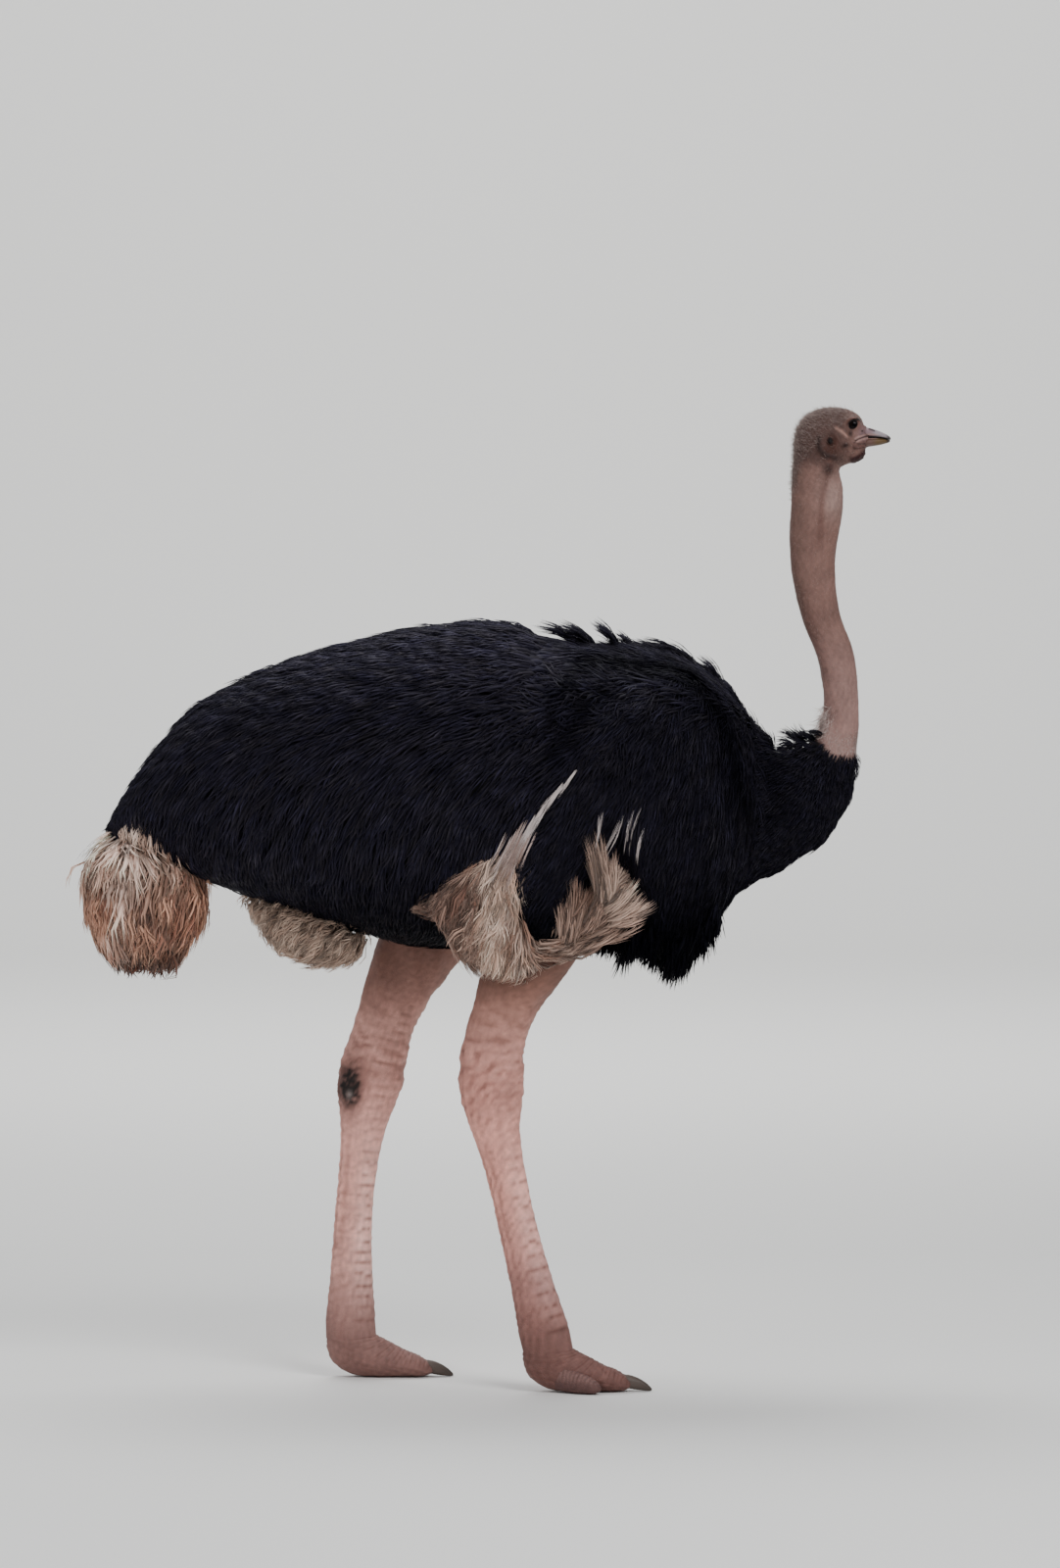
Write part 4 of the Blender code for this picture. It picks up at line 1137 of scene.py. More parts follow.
def free(roots, out, goal, length):
    """Shafts in the open air: each starts one way and bends evenly to another. Gives the roots plus the
    running sum of the unit ways between, and up directions that lean to the starting way."""
    steps = 6
    t = np.linspace(0, 1, steps)[None, :, None]
    way = out[:, None] * (1 - t) + goal[:, None] * t
    way = way / np.linalg.norm(way, axis=-1, keepdims=True)
    run = np.cumsum(np.concatenate([0 * way[:, :1], way[:, 1:]], axis=1), axis=1)
    path = roots[:, None] + run * (length / (steps - 1))[:, None, None]
    up = out[:, None] - way * (way * out[:, None]).sum(-1, keepdims=True) + (0, 1e-4, 1e-5)
    return path, up / np.linalg.norm(up, axis=-1, keepdims=True)


# The height of the wing's lower edge: x, z.
WING_EDGE = (
    (0.200, 0.985), (0.260, 0.975), (0.320, 0.965), (0.349, 0.955),
    (0.386, 0.925), (0.428, 0.940), (0.475, 0.985), (0.500, 1.020),
)
DROOPING = 560  # locks that droop from the lower edge of each wing
# Each lobe: its piece, its node, its rows, its rings and sides, how many feathers, seed and their length.
LOBES = (
    ("wing_plumage_", "wing_", WING, (36, 110), 3600, 0, 0.105),
    ("rear_lobe_plumage_", "wing_rear_lobe_", REAR_LOBE, (28, 80), 1500, 10, 0.100),
)
for side, end, seed in ((1, "l", 111), (-1, "r", 112)):
    for name, node, rows, grid, count, more, length in LOBES:
        lobe = black_coat(
            name + end, barrel(rows, *grid, side), count, seed + more, wing_lie, (length, 0.0095),
            lambda p: p[:, 1] * side > 0, rough=0.8,
        )
        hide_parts(node + end)
    # The drooping locks, at random along the wing's lower edge and longest at two places.
    rng = np.random.default_rng(seed + 20)
    x = rng.uniform(0.200, 0.500, DROOPING)
    under = np.interp(x, *np.array(WING_EDGE).T)
    out = np.interp(x, WING[:, 0], WING[:, 3]) + rng.uniform(-0.09, 0.11, DROOPING) * step(0.18, 0.38, x)
    roots = np.stack([x, side * out, under + rng.uniform(-0.005, 0.05, DROOPING)], axis=1)
    back, across = rng.normal(-0.18, 0.15, DROOPING), 0.2 * side * rng.normal(0, 1, DROOPING)
    goal = np.stack([back, across, np.full(DROOPING, -1.0)], 1)
    back, across = rng.normal(-0.1, 0.1, DROOPING), side * rng.uniform(0.1, 0.5, DROOPING)
    outward = np.stack([back, across, np.full(DROOPING, -0.9)], 1)
    long = 0.055 + 0.030 * hump(x, 0.305, 0.014) + 0.022 * hump(x, 0.42, 0.022)
    length = long * rng.uniform(0.7, 1.15, DROOPING)
    path, up = free(roots, outward, goal, length)
    made = strands(path, up, 0.010 * rng.uniform(0.7, 1.3, DROOPING), length, CONTOUR, rng)
    unwrapped = np.stack([x, (out + 0.1) / 2], axis=1)
    locks = coat("wing_fringe_" + end, made, unwrapped, black_tones(made, rng), black_feather, rng)

# ================================================================ mantle
# Looser, curling feathers across the shoulders, whose hooked tips stand off the back where the wings
# push them up, and at the root of the neck.


def mantle_rise(p):
    """How far the mantle's tips stand up: a little over the hump, none down the sides."""
    return 0.008 * step(1.46, 1.56, p[:, 2]) * step(0.16, 0.30, p[:, 0]) * (1 - step(0.50, 0.58, p[:, 0]))


black_coat(
    "mantle_plumage", trunk_grid, 9000, 118, body_lie, (0.085, 0.0110),
    lambda p: (p[:, 0] > 0.12) & (p[:, 2] > 1.42), 1.0, mantle_rise, 0.065,
)
# Hooked tips in small bunches, off the back and then off the back of the neck's root. Each row: root
# x, z, tip x, z, and how many there are.
HOOKS = (
    (0.205, 1.584, 0.118, 1.642, 60), (0.240, 1.580, 0.163, 1.642, 90), (0.214, 1.584, 0.176, 1.614, 30),
    (0.286, 1.578, 0.236, 1.642, 76), (0.318, 1.576, 0.285, 1.618, 56), (0.344, 1.572, 0.322, 1.592, 24),
    (0.430, 1.560, 0.340, 1.604, 80), (0.450, 1.545, 0.384, 1.598, 50), (0.508, 1.494, 0.462, 1.566, 70),
    (0.532, 1.462, 0.503, 1.520, 46), (0.556, 1.428, 0.534, 1.478, 36), (0.574, 1.394, 0.556, 1.456, 40),
    (0.600, 1.374, 0.578, 1.426, 40), (0.612, 1.366, 0.606, 1.408, 24), (0.668, 1.372, 0.646, 1.382, 50),
    (0.684, 1.380, 0.654, 1.398, 70), (0.702, 1.388, 0.672, 1.406, 70), (0.718, 1.398, 0.692, 1.410, 50),
)


def one_each(rows):
    """A table's columns, each row repeated as many times as its last number says, without that number."""
    columns = np.array(rows).T
    return np.repeat(columns[:-1], columns[-1].astype(int), axis=1)


rng = np.random.default_rng(120)
from_x, from_z, to_x, to_z = one_each(HOOKS)
count = len(from_x)
strewn = rng.normal(0, (0.004, 0.018, 0.002), (count, 3))
roots = np.stack([from_x, 0 * from_x, from_z - 0.004], axis=1) + strewn
goal = np.stack([to_x - from_x, 0.4 * roots[:, 1], to_z - from_z], axis=1)
length = np.linalg.norm(goal, axis=1) * rng.uniform(0.75, 1.15, count)
goal = goal / np.linalg.norm(goal, axis=1)[:, None] + rng.normal(0, (0.07, 0.10, 0.07), (count, 3))
square = np.stack([goal[:, 2], 0 * length, -goal[:, 0]], axis=1)
path, up = free(roots, goal + 0.45 * square, goal - 0.45 * square, length)
up = np.cross(np.gradient(path, axis=1), np.array((0, 1.0, 0)))
up /= -np.linalg.norm(up, axis=-1, keepdims=True)
made = strands(path, up, 0.0050 * rng.uniform(0.7, 1.3, count), length, CONTOUR, rng)
hooks = coat("mantle_hooks", made, roots[:, :2] / 2 + 0.3, black_tones(made, rng), black_feather, rng)

# ================================================================ black plumage of the neck's base
# Short dense feathers that begin at the edge of the bare skin and lengthen to the breast. They lie
# down the neck, and single tips stand up on its back.


def neck_lie(p):
    """The way the neck's feathers point: down the neck's line, from above, as a smooth function of
    how far forward they are, turning to straight down under the throat."""
    ahead = step(0.56, 0.76, p[..., 0])[..., None]
    back = np.array((-0.92, 0, -0.40)) * (1 - ahead) + np.array((-0.50, 0, -0.86)) * ahead
    return back / np.linalg.norm(back, axis=-1, keepdims=True)


def crest_rise(p):
    """How far single tips stand up on the back of the neck's root."""
    return 0.024 * patch(p[:, 0], p[:, 2], (0.690, 1.400), (0.030, 0.025)) * step(0.08, 0.0, np.abs(p[:, 1]))


line = resampled(NECK_BASE, 60)
slope = np.gradient(line[:, :2], axis=0)
across = np.stack([-slope[:, 1], slope[:, 0]], axis=1) / np.linalg.norm(slope, axis=1)[:, None]
rows = np.hstack([line[:, :2] + across * line[:, 2:], line[:, :2] - across * line[:, 2:], line[:, 2:] / 1.2])
neck_base = tube(rows, circle(110), 2.0)
black_coat(
    "neck_base_plumage", neck_base, 5200, 121, neck_lie, (0.050, 0.0075),
    lambda p: (p[:, 0] > 0.50) & (p[:, 2] < black_edge(p[:, 0])), 0.8, crest_rise,
)

# ================================================================ pale wing plumes
# The wings' long plumes, creamy and buff, loose and curly. Those behind the rear lobe fan out back and
# down over the thigh, those before it curl up in fingers, and thin ones edge the lobe and cross the wing.

# How a plume is made up: a lock and three curling strands.
PLUME = (
    (0.00, 1.00, 0.00, 0.00, 0.00, 0.50, 0.40, 4, 3),
    (0.10, 0.90, 0.35, 1.35, 0.30, 0.20, 0.7, 2, 3),
    (0.15, 0.98, -0.35, -1.20, 0.25, 0.20, 0.7, 2, 3),
    (0.42, 1.12, 0.05, 0.50, 0.60, 0.17, 0.7, 2, 3),
)
FAN_HUB = np.array((0.100, 0, 1.290))  # the rear plumes hang away from here
FINGER_HUB = np.array((0.120, 0, 0.860))  # the front plumes curl up and forward away from here


def on_side(line, side):
    """The distance outside a barrel that lies on one side of the body."""
    return lambda p: off_barrel(line, p * (1, side, 1))


def away(p, hub):
    """Unit ways from a hub to points, seen from the side."""
    way = (p - hub) * (1, 0, 1)
    return way / np.maximum(np.linalg.norm(way, axis=-1, keepdims=True), 1e-6)


def plume_lie(p):
    """The way the pale plumes point: away from the rear hub, and from the front hub further forward,
    and forward along the lower edge of the rear lobe."""
    ahead = step(0.160, 0.205, p[..., 0])[..., None]
    way = away(p, FAN_HUB) * (1 - ahead) + away(p, FINGER_HUB) * ahead + (0, 0, 1e-4)
    level = patch(p[..., 0], p[..., 2], (0.140, 0.945), (0.045, 0.045))[..., None]
    way = way * (1 - level) + np.array((0.95, 0, 0.25)) * level
    return way / np.linalg.norm(way, axis=-1, keepdims=True)


def in_fan(p):
    """Whether a root is among the pale plumes: clear of the black lobes, below the wing's edge and
    above the fan's lower rim."""
    x, z = p[:, 0], p[:, 2]
    lobe = np.interp(x, REAR_LOBE[:, 0], REAR_LOBE[:, 2], left=9, right=9)
    behind = (x < 0.060) | (z < lobe + 0.012) | (z > np.interp(x, REAR_LOBE[:, 0], REAR_LOBE[:, 1]) - 0.004)
    ceiling = np.interp(x, (0.150, 0.200, 0.222, 0.240, 0.262, 0.340), (1.04, 1.065, 1.14, 1.16, 1.09, 1.05))
    rim = np.interp(x, (-0.10, 0.00, 0.06, 0.12), (0.990, 0.965, 0.950, 0.920))
    return np.where(x < 0.150, behind, z < ceiling) & (z > rim)


def loose_coat(
    name, surface, grid, count, seed, lie, size, root, tip, colours, material, curl, keep=None, lumps=0.003,
    share=lambda p: 1.0,
):
    """Loose plumes over one form: like the black coat, but rooted at one height and with tips about
    another (its mean and spread), curled along their length, and clumped by the height lumps in long
    locks. keep says which roots stay, and share how much of its length each has. The colours mix two at
    random and lighten towards the tips: two hex colours, or a function that gives both for each root."""
    rng = np.random.default_rng(seed)
    where, unwrapped = rooted(grid, count, rng)
    if keep is not None:
        kept = keep(where + rng.normal(0, 0.007, where.shape))
        where, unwrapped, count = where[kept], unwrapped[kept], kept.sum()
    length = size[0] * rng.uniform(0.7, 1.3, count) * share(where)
    width = size[1] * rng.uniform(0.7, 1.4, count)
    t = np.linspace(0, 1, 7)
    lump = ripples(where * (1, 1, 0.28), 0.038, seed)
    end = tip[0] + rng.normal(0, tip[1], count) + lumps * lump
    heights = root + (end[:, None] - root) * np.sin(np.pi / 2 * np.minimum(1.3 * t, 1))
    wave = np.sin(rng.uniform(0, 6.28, (count, 1)) + np.arange(7) * rng.uniform(0.8, 1.5, (count, 1)))
    swirl = 1.3 * ripples(where * (1, 1, 0.4), 0.055, seed + 5)[:, None] * np.linspace(0.2, 1, 7)
    turn = curl * (wave + swirl) + rng.normal(0, 0.4 * curl, (count, 1))
    path, up = laid(surface, where, lie, length, heights, turn)
    made = strands(path, up, width, length, PLUME, rng)
    # locks lighter where they rise and darker in the gaps between them: painted light and shade
    shade = rng.lognormal(0, 0.16, (count, 1)) * (0.62 + 0.50 * made[2]) * (1 + 45 * lumps * lump)[:, None]
    shade = np.where(rng.uniform(0, 1, (count, 1)) < 0.14, 0.45, 1.0) * shade
    blend = np.clip(rng.normal(0.5, 0.35, (count, 1, 1)), 0, 1)
    light, deep = colours(where) if callable(colours) else map(linear, colours)
    tones = shade[..., None] * (light * (1 - blend) + deep * blend)
    return coat(name, made, unwrapped, tones, material, rng)


def fan_colours(p):
    """Creamy and buff, with a reddish patch before the rear lobe, rosy brown to dark brown ones behind
    it, and a white band down its rear edge."""
    x, z = p[:, 0], p[:, 2]
    red = patch(x, z, (0.190, 1.030), (0.035, 0.045))
    dusk = patch(x, z, (-0.070, 1.060), (0.060, 0.040)) + patch(x, z, (-0.020, 1.120), (0.030, 0.030))
    dusk = np.clip(dusk + 0.7 * patch(x, z, (-0.040, 0.975), (0.035, 0.035)), 0, 1)
    band = ((0.080, 1.200), (0.045, 1.140), (0.024, 1.060), (0.034, 0.985), (0.060, 0.940))
    white = np.maximum(fold(x, z, band, 0.024), 0.8 * patch(x, z, (0.290, 1.035), (0.040, 0.030)))
    light = painted("#c6a898", p, ("#96705d", red), ("#7c5546", dusk), ("#ffe6d4", white))
    deep = painted("#8d6857", p, ("#5e3d32", red), ("#3c2620", dusk), ("#eac2aa", 0.9 * white))
    return light[:, None], deep[:, None]


# Fingers: soft tufts that curl up over the wing's lower edge. Each row: root x, z, tip x, z, how far
# out they lie, how far their roots spread, and how many there are.
FINGERS = (
    (0.243, 1.050, 0.232, 1.185, 0.296, 0.007, 26), (0.258, 1.060, 0.268, 1.145, 0.298, 0.006, 20),
    (0.150, 0.950, 0.215, 0.985, 0.238, 0.012, 40), (0.188, 0.955, 0.262, 1.000, 0.252, 0.012, 50),
    (0.225, 0.978, 0.300, 1.020, 0.272, 0.012, 50), (0.268, 1.008, 0.336, 1.040, 0.296, 0.010, 40),
    (0.255, 1.030, 0.316, 1.075, 0.298, 0.008, 26), (0.215, 1.010, 0.250, 1.070, 0.286, 0.014, 46),
    (0.180, 0.985, 0.192, 1.075, 0.284, 0.012, 50), (0.164, 0.975, 0.172, 1.040, 0.278, 0.010, 40),
)
# Wisps: thin white plumes that edge the rear lobe and cross the wing, rosier where they are bunched.
# Each row: root x, z, tip x, z, how far their roots spread, and how many there are.
WISPS = (
    (0.186, 1.332, 0.150, 1.280, 0.0012, 7), (0.162, 1.302, 0.122, 1.246, 0.0016, 10),
    (0.134, 1.268, 0.095, 1.202, 0.0022, 13), (0.108, 1.230, 0.076, 1.170, 0.0034, 16),
    (0.088, 1.205, 0.052, 1.125, 0.0080, 36), (0.066, 1.180, 0.026, 1.090, 0.0100, 36),
    (0.240, 1.140, 0.246, 1.232, 0.003, 3), (0.262, 1.120, 0.292, 1.210, 0.004, 4),
    (0.285, 1.130, 0.322, 1.225, 0.003, 4), (0.300, 1.110, 0.330, 1.180, 0.003, 3),
)
pale_feather = down_feather("pale_plume", 0.65, 0.16, "#fff2e4", 1.45, "#ffffff", 0.55)
for side, end, seed in ((1, "l", 131), (-1, "r", 132)):
    piece = loose_coat(
        "pale_plumes_" + end, on_side(PLUME_LINE, side), barrel(PLUMES, 34, 80, side), 3600, seed, plume_lie,
        (0.110, 0.0068), -0.020, (-0.003, 0.005), fan_colours, pale_feather, 0.34, in_fan, 0.006,
    )
    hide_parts("plumes_" + end)

    rng = np.random.default_rng(seed + 2)
    from_x, from_z, to_x, to_z, out, spread = one_each(FINGERS)
    count = len(from_x)
    strewn = rng.normal(0, 1, (count, 3)) * spread[:, None] * (1, 0.4, 1)
    roots = np.stack([from_x, side * (out - 0.012), from_z], 1) + strewn
    goal = np.stack([to_x - from_x, 0 * from_x, to_z - from_z], 1)
    length = np.linalg.norm(goal, axis=1) * rng.uniform(0.70, 1.20, count)
    goal = goal / np.linalg.norm(goal, axis=1)[:, None] + rng.normal(0, 0.10, (count, 3))
    path, up = free(roots, goal + (0.20, 0.40 * side, -0.20), goal + (-0.25, -0.25 * side, 0.20), length)
    up = np.broadcast_to(np.array((0, side, 0.0)), up.shape)
    made = strands(path, up, 0.0065 * rng.uniform(0.7, 1.3, count), length, PLUME, rng)
    light, deep = fan_colours(roots)
    tones = rng.lognormal(0, 0.18, (count, 1, 1)) * (0.55 * light + 0.45 * deep)
    tones = tones * (0.70 + 0.50 * made[2])[:, None]
    tones = tones * np.where(rng.uniform(0, 1, (count, 1, 1)) < 0.25, 0.30, 1.0)
    unwrapped = np.stack([roots[:, 0], roots[:, 2] / 2], 1)
    fingers = coat("plume_fingers_" + end, made, unwrapped, tones, pale_feather, rng)

    from_x, from_z, to_x, to_z, spread = one_each(WISPS)
    count = len(from_x)
    strewn = rng.normal(0, 1, (count, 3)) * spread[:, None] * (1, 0, 1)
    roots = np.stack([from_x, side * 0.30 + 0 * from_x, from_z], 1) + strewn
    goal = np.stack([to_x - from_x, 0 * from_x, to_z - from_z], 1)
    length = np.linalg.norm(goal, axis=1) * rng.uniform(0.8, 1.2, count)
    goal = goal / length[:, None]
    surface = lambda p: np.minimum(off_body(p), off_barrel(PLUME_LINE, p * (1, side, 1)))
    roots = onto(surface, roots, np.zeros(count), 4)
    heights = np.linspace(-0.002, 0.006, 6) + rng.uniform(0.0, 0.004, (count, 1))
    path, up = laid(surface, roots, lambda p: goal, length, heights, rng.normal(0, 0.10, count))
    made = strands(path, up, 0.0019 * rng.uniform(0.7, 1.3, count), length, PLUME, rng)
    rosy = (step(0.004, 0.007, spread) * rng.uniform(0.2, 1, count))[:, None, None]
    tones = linear("#eadcd9") * (1 - rosy) + linear("#a87f6d") * rosy
    tones = rng.lognormal(0, 0.12, (count, 1, 1)) * tones * (0.75 + 0.35 * made[2])[None, :, None]
    unwrapped = np.stack([roots[:, 0] + 0.3, roots[:, 2] / 2], 1)
    wisps = coat("plume_wisps_" + end, made, unwrapped, tones, pale_feather, rng)

# ================================================================ tail
# A drooping bunch of soft curly tail plumes, whitish where they leave the rump and rusty brown low
# down. Short pale coverts of the rump lie over its root.


def off_bunch(line, p):
    """Distance outside a bunch of level ovals: measured from its middle line as for a barrel, with
    the heights in place of the distances along."""
    z = np.clip(p[..., 2], line[-1, 1], line[0, 1])
    middle, depth, width = (np.interp(z, line[::-1, 1], line[::-1, k]) for k in (0, 2, 3))
    ahead, across = p[..., 0] - middle + 1e-5, p[..., 1]
    share = (ahead / np.maximum(depth, 0.006)) ** 2 + (across / np.maximum(width, 0.006)) ** 2
    apart = np.hypot(ahead, across) * (1 - share**-0.5)
    return np.hypot(np.maximum(apart, 0), p[..., 2] - z) + np.minimum(apart, 0)


def tail_lie(p):
    """The way the tail's plumes point: down, drawing together below its widest part."""
    way = np.stack([-0.35 * (p[..., 0] + 0.74), -0.5 * p[..., 1], np.full(p.shape[:-1], -0.25)], axis=-1)
    return way / np.linalg.norm(way, axis=-1, keepdims=True)


def tail_colours(p):
    """Whitish at the top, rosy brown in the middle with two pale streaks, and rusty at the bottom with
    a dark patch."""
    x, z = p[:, 0], p[:, 2]
    high, low = step(1.12, 1.22, z), step(1.04, 0.92, z)
    streak = fold(x, z, ((-0.757, 1.21), (-0.775, 1.10), (-0.808, 0.98)), 0.020)
    streak = 0.6 * (streak + 0.6 * fold(x, z, ((-0.757, 1.21), (-0.70, 1.10), (-0.668, 1.02)), 0.012))
    dark = 0.9 * patch(x, z, (-0.755, 0.970), (0.050, 0.036))
    light = painted("#cc9b81", p, ("#ffe3d1", high), ("#643625", low), ("#e4d1c6", streak), ("#2a1611", dark))
    deep = painted("#825544", p, ("#d0aa96", high), ("#26120c", low), ("#b99c8f", streak), ("#180c09", dark))
    return light[:, None], deep[:, None]


TAIL_END = 0.874  # height of the tail's lowest point
tail_feather = down_feather("tail_plume", 0.65, 0.14, "#ffe9da", 1.45, "#ffffff", 0.55)
tail = loose_coat(
    "tail_plumes", lambda p: off_bunch(TAIL_LINE, p), bunch(TAIL, 30, 72), 1900, 141, tail_lie,
    (0.125, 0.0125), -0.032, (-0.008, 0.008), tail_colours, tail_feather, 0.36,
    keep=lambda p: p[:, 2] > 0.895, lumps=0.016,
    share=lambda p: np.clip((p[:, 2] - TAIL_END) / 0.15, 0.15, 1),
)
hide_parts("tail")
coverts = loose_coat(
    "tail_coverts", off_body, trunk_grid, 12000, 142, lambda p: tail_lie(p) + 0.4 * body_lie(p),
    (0.085, 0.0080), -0.020, (0.007, 0.005), tail_colours, tail_feather, 0.35, tail_cover,
)

# ================================================================ down of the vent
# Short buff down under the rump, between the thighs: soft tufts with no shaft to speak of, which stand
# off the skin a little and point backward and down.


def vent_lie(p):
    """The way the down points: backward and down."""
    return np.broadcast_to(np.array((-0.6, 0, -0.8)), p.shape)


vent = loose_coat(
    "vent_down_tufts", lambda p: off_barrel(VENT_LINE, p), barrel(VENT, 22, 60), 1500, 151, vent_lie,
    (0.060, 0.0055), -0.022, (-0.001, 0.007), ("#d4b9a6", "#a98c7a"), pale_feather, 0.5,
)
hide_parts("vent_down")

# ================================================================ bristles of the head and neck
# Sparse hair-like bristles: woolly and standing on the crown and nape, short and bright along the neck,
# a whitish fringe where the bare skin meets the black feathers, and lashes on the upper lids.

# How a bristle is made up: one thin strand.
BRISTLE = ((0.0, 1.0, 0.0, 0.0, 0.0, 1.0, 1.0, 2, 3),)


def bristled(name, low, count, seed, density, length, width, out, lean, colours):
    """Bristles on the tube's rings from low up or, where low is below zero, on all but the last -low.
    density gives the share of them kept, length is their least and greatest, out is how far they stand
    off the skin, and lean is the way they bend to."""
    rng = np.random.default_rng(seed)
    grid, normals = (whole[low:] if low > 0 else whole[:low] for whole in (head_neck, head_normals))
    where, unwrapped = rooted(grid, count, rng)
    ring = (unwrapped[:, 1] * (grid.shape[0] - 1)).astype(int)
    sector = (unwrapped[:, 0] * grid.shape[1]).astype(int) % grid.shape[1]
    off_eye = np.hypot(where[:, 0] - EYE[0], where[:, 2] - EYE[2]) > 0.0165
    kept = (rng.uniform(0, 1, count) < density(where)) & off_eye
    where, unwrapped, normal = where[kept], unwrapped[kept], normals[ring, sector][kept]
    count = len(where)
    first = normal * out + np.array(lean) * (1 - out) + rng.normal(0, 0.22, (count, 3))
    then = normal * out * 0.3 + np.array(lean) + rng.normal(0, 0.35, (count, 3))
    long = rng.uniform(*length, count)
    path, up = free(where - normal * 0.0015, first, then, long)
    made = strands(path, up, width * rng.uniform(0.8, 1.2, count), long, BRISTLE, rng)
    blend = rng.uniform(0, 1, (count, 1, 1))
    tones = linear(colours[0]) * (1 - blend) + linear(colours[1]) * blend
    tones = tones * (0.8 + 0.4 * made[2])[None, :, None]
    piece = coat(name, made, unwrapped, tones, pale_feather, rng)


def on_crown(p):
    """Share of bristles kept on the crown and nape: all of them on top and behind, few on the face."""
    x, z = p[:, 0], p[:, 2]
    top = step(2.045, 2.085, z + 0.35 * (0.79 - x)) * step(0.815, 0.800, x)
    edge = np.interp(z, (1.92, 1.98, 2.03), (0.664, 0.674, 0.716))
    nape = step(edge + 0.012, edge - 0.006, x) * step(1.88, 1.96, z)
    return np.clip(np.maximum(top, nape) + 0.10 * step(1.97, 1.99, z), 0, 1) * step(1.88, 1.92, z)


def on_neck(p):
    """Share of bristles kept on the bare neck: a third."""
    return 0.34 * step(1.42, 1.46, p[:, 2]) * step(2.00, 1.95, p[:, 2])


def on_fringe(p):
    """Share of bristles kept along the edge of the black feathers, 14 mm above it."""
    apart = np.abs(p[:, 2] - black_edge(p[:, 0]) - 0.014)
    return 0.85 * step(0.040, 0.004, apart) * step(0.66, 0.68, p[:, 0])


def on_nape(p):
    """Share of bristles kept on the back of the neck's root, which are the longest."""
    return 0.9 * step(0.042, 0.006, np.abs(p[:, 2] - 1.424)) * step(0.760, 0.725, p[:, 0])


# Each kind: name, first ring, how many are tried, seed, share kept, least and greatest length, half
# width, how far they stand off the skin, the way they bend to, and two colours.
BRISTLES = (
    ("crown_bristles", 115, 27000, 161, on_crown, (0.007, 0.017), 0.00036, 0.60, (-0.60, 0, 0.35),
     ("#6b5651", "#ab968e")),
    ("neck_bristles", -120, 52000, 162, on_neck, (0.003, 0.009), 0.00026, 0.70, (-0.2, 0, -0.75),
     ("#93776d", "#b9a096")),
    ("fringe_bristles", -120, 170000, 163, on_fringe, (0.014, 0.036), 0.00058, 0.62, (-0.20, 0, -0.98),
     ("#b5968e", "#e8dad4")),
    ("fringe_wisps", -120, 190000, 164, on_nape, (0.020, 0.048), 0.00060, 0.72, (-0.60, 0, -0.45),
     ("#b5968e", "#e9dbd5")),
)
for kind in BRISTLES:
    bristled(*kind)

# Lashes: a row of stiff black bristles along each upper lid.
LASHES = 30
for side, end in ((1, "l"), (-1, "r")):
    rng = np.random.default_rng(171)
    around = np.linspace(0.15, np.pi - 0.90, LASHES)
    along, over = 1.06 * OPENING[0] * np.cos(around), 1.10 * OPENING[1] * np.sin(around)
    dx, dz = along * np.cos(SLANT) - over * np.sin(SLANT), over * np.cos(SLANT) + along * np.sin(SLANT)
    out_y = EYE[1] + np.sqrt((EYE_RADIUS + 0.0008) ** 2 - dx**2 - dz**2)
    roots = np.stack([EYE[0] + dx, side * out_y, EYE[2] + dz], axis=1)
    first = np.stack([dx * 30, side * 1.1 + 0 * dx, dz * 20 + 0.1], 1) + rng.normal(0, 0.06, (LASHES, 3))
    then = np.stack([dx * 50, side * 0.5 + 0 * dx, dz * 60 - 0.1], 1) + rng.normal(0, 0.06, (LASHES, 3))
    long = 0.0095 * rng.uniform(0.8, 1.1, LASHES)
    path, up = free(roots, first, then, long)
    made = strands(path, up, np.full(LASHES, 0.00050), long, BRISTLE, rng)
    tones = painted("#0d0a09", made[0])
    unwrapped = np.stack([around / 4, 0.5 + 0 * around], 1)
    lashes = coat("lashes_" + end, made, unwrapped, tones, black_feather, rng)

# ================================================================ floor, light and camera
# A plain pale studio floor that runs up into a backdrop, three soft lamps on the bird and one on the
# backdrop, and a long lens at eye height.

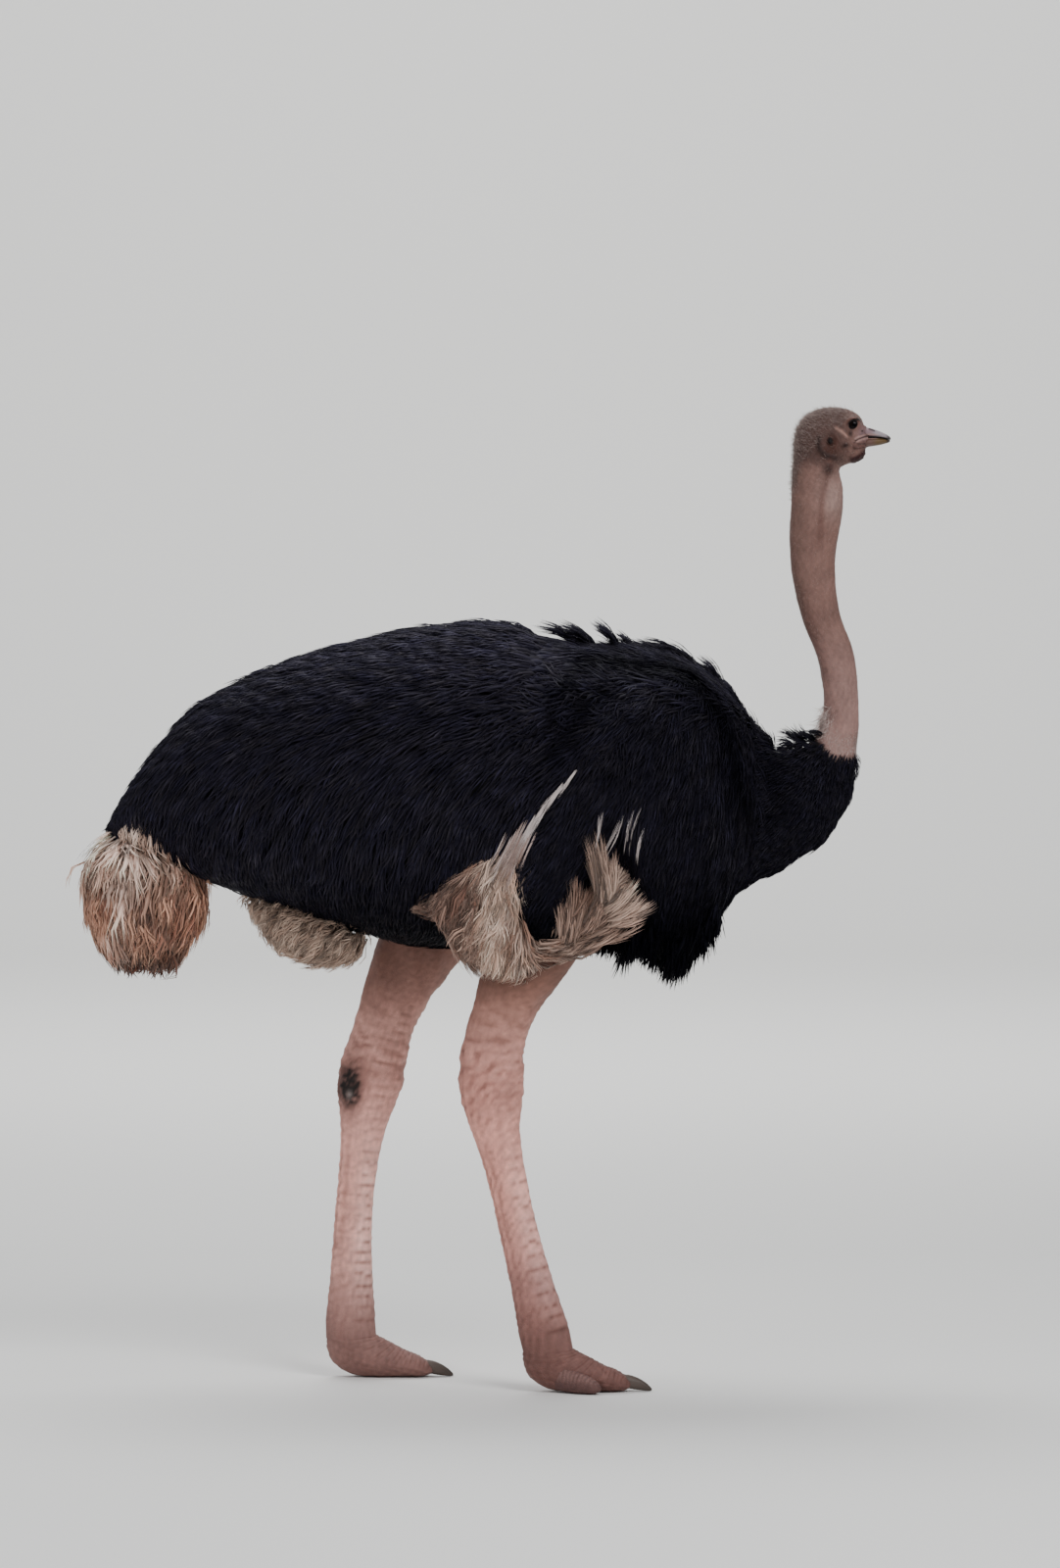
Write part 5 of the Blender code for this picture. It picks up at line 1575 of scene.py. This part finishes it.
FLAT, TURNED = 0.45, 0.75  # shares of the sheet's length at which its flat part and its bend end
FRONT, REAR, BEND = -18, 16, 3  # where its flat part begins and ends along Y, and its bend's radius
ramp = np.linspace(0, 1, 40)
bend = np.clip((ramp - FLAT) / (TURNED - FLAT), 0, 1) * np.pi / 2
sweep_y = np.where(ramp < FLAT, FRONT + ramp / FLAT * (REAR - FRONT), REAR + BEND * np.sin(bend))
sweep_z = np.where(ramp < FLAT, 0, BEND * (1 - np.cos(bend))) + np.maximum(ramp - TURNED, 0) * 28
wide = np.array((-20.0, 20.0))
sheet = np.stack(np.broadcast_arrays(wide[None], sweep_y[:, None], sweep_z[:, None]), axis=-1)
index = np.arange(80).reshape(40, 2)
quads = np.stack([index[:-1, 0], index[:-1, 1], index[1:, 1], index[1:, 0]], axis=-1)
paper = finish("studio_paper", Base_Color=(*linear("#f0efec"), 1), Roughness=0.9)[0]
floor = shaped("studio_floor", sheet.reshape(-1, 3), quads.tolist(), np.ones((80, 3)), paper)

sky = bpy.data.worlds.new("studio")
sky.use_nodes = True
backdrop = sky.node_tree.nodes["Background"]
backdrop.inputs["Color"].default_value = (*linear("#e6ebf2"), 1)
backdrop.inputs["Strength"].default_value = 0.42
bpy.context.scene.world = sky

# Each lamp: name, place, the point it faces, its width, its power in watts.
LAMPS = (
    ("key_lamp", (3.5, -5.5, 6.0), (0.0, 0.0, 1.2), 3.5, 400.0),
    ("fill_lamp", (-5.0, -5.0, 4.5), (0.0, 0.0, 1.2), 4.0, 110.0),
    ("top_lamp", (-1.0, 2.5, 6.5), (0.0, 0.0, 1.4), 4.0, 300.0),
    ("backdrop_lamp", (0.0, 8.0, 9.0), (0.0, 19.0, 2.5), 8.0, 1300.0),
)


def turned_to(place, goal):
    """The rotation that makes a lamp or camera at a place face a goal, upright."""
    way = np.subtract(goal, place)
    return (np.arctan2(np.hypot(way[0], way[1]), -way[2]), 0, np.arctan2(-way[0], way[1]))


for name, place, goal, width, power in LAMPS:
    lamp = bpy.data.lights.new(name, "AREA")
    lamp.size, lamp.energy = width, power
    held = bpy.data.objects.new(name, lamp)
    held.location, held.rotation_euler = place, turned_to(place, goal)
    bpy.context.scene.collection.objects.link(held)

EYE_POINT, AIM, FRAME_HEIGHT = (0.0945, -14.0, 1.73), (0.0945, 0.0, 1.29), 3.36
lens = bpy.data.cameras.new("camera")
lens.lens = lens.sensor_width * np.linalg.norm(np.subtract(AIM, EYE_POINT)) / FRAME_HEIGHT
view = bpy.data.objects.new("camera", lens)
view.location, view.rotation_euler = EYE_POINT, turned_to(EYE_POINT, AIM)
bpy.context.scene.collection.objects.link(view)
bpy.context.scene.camera = view
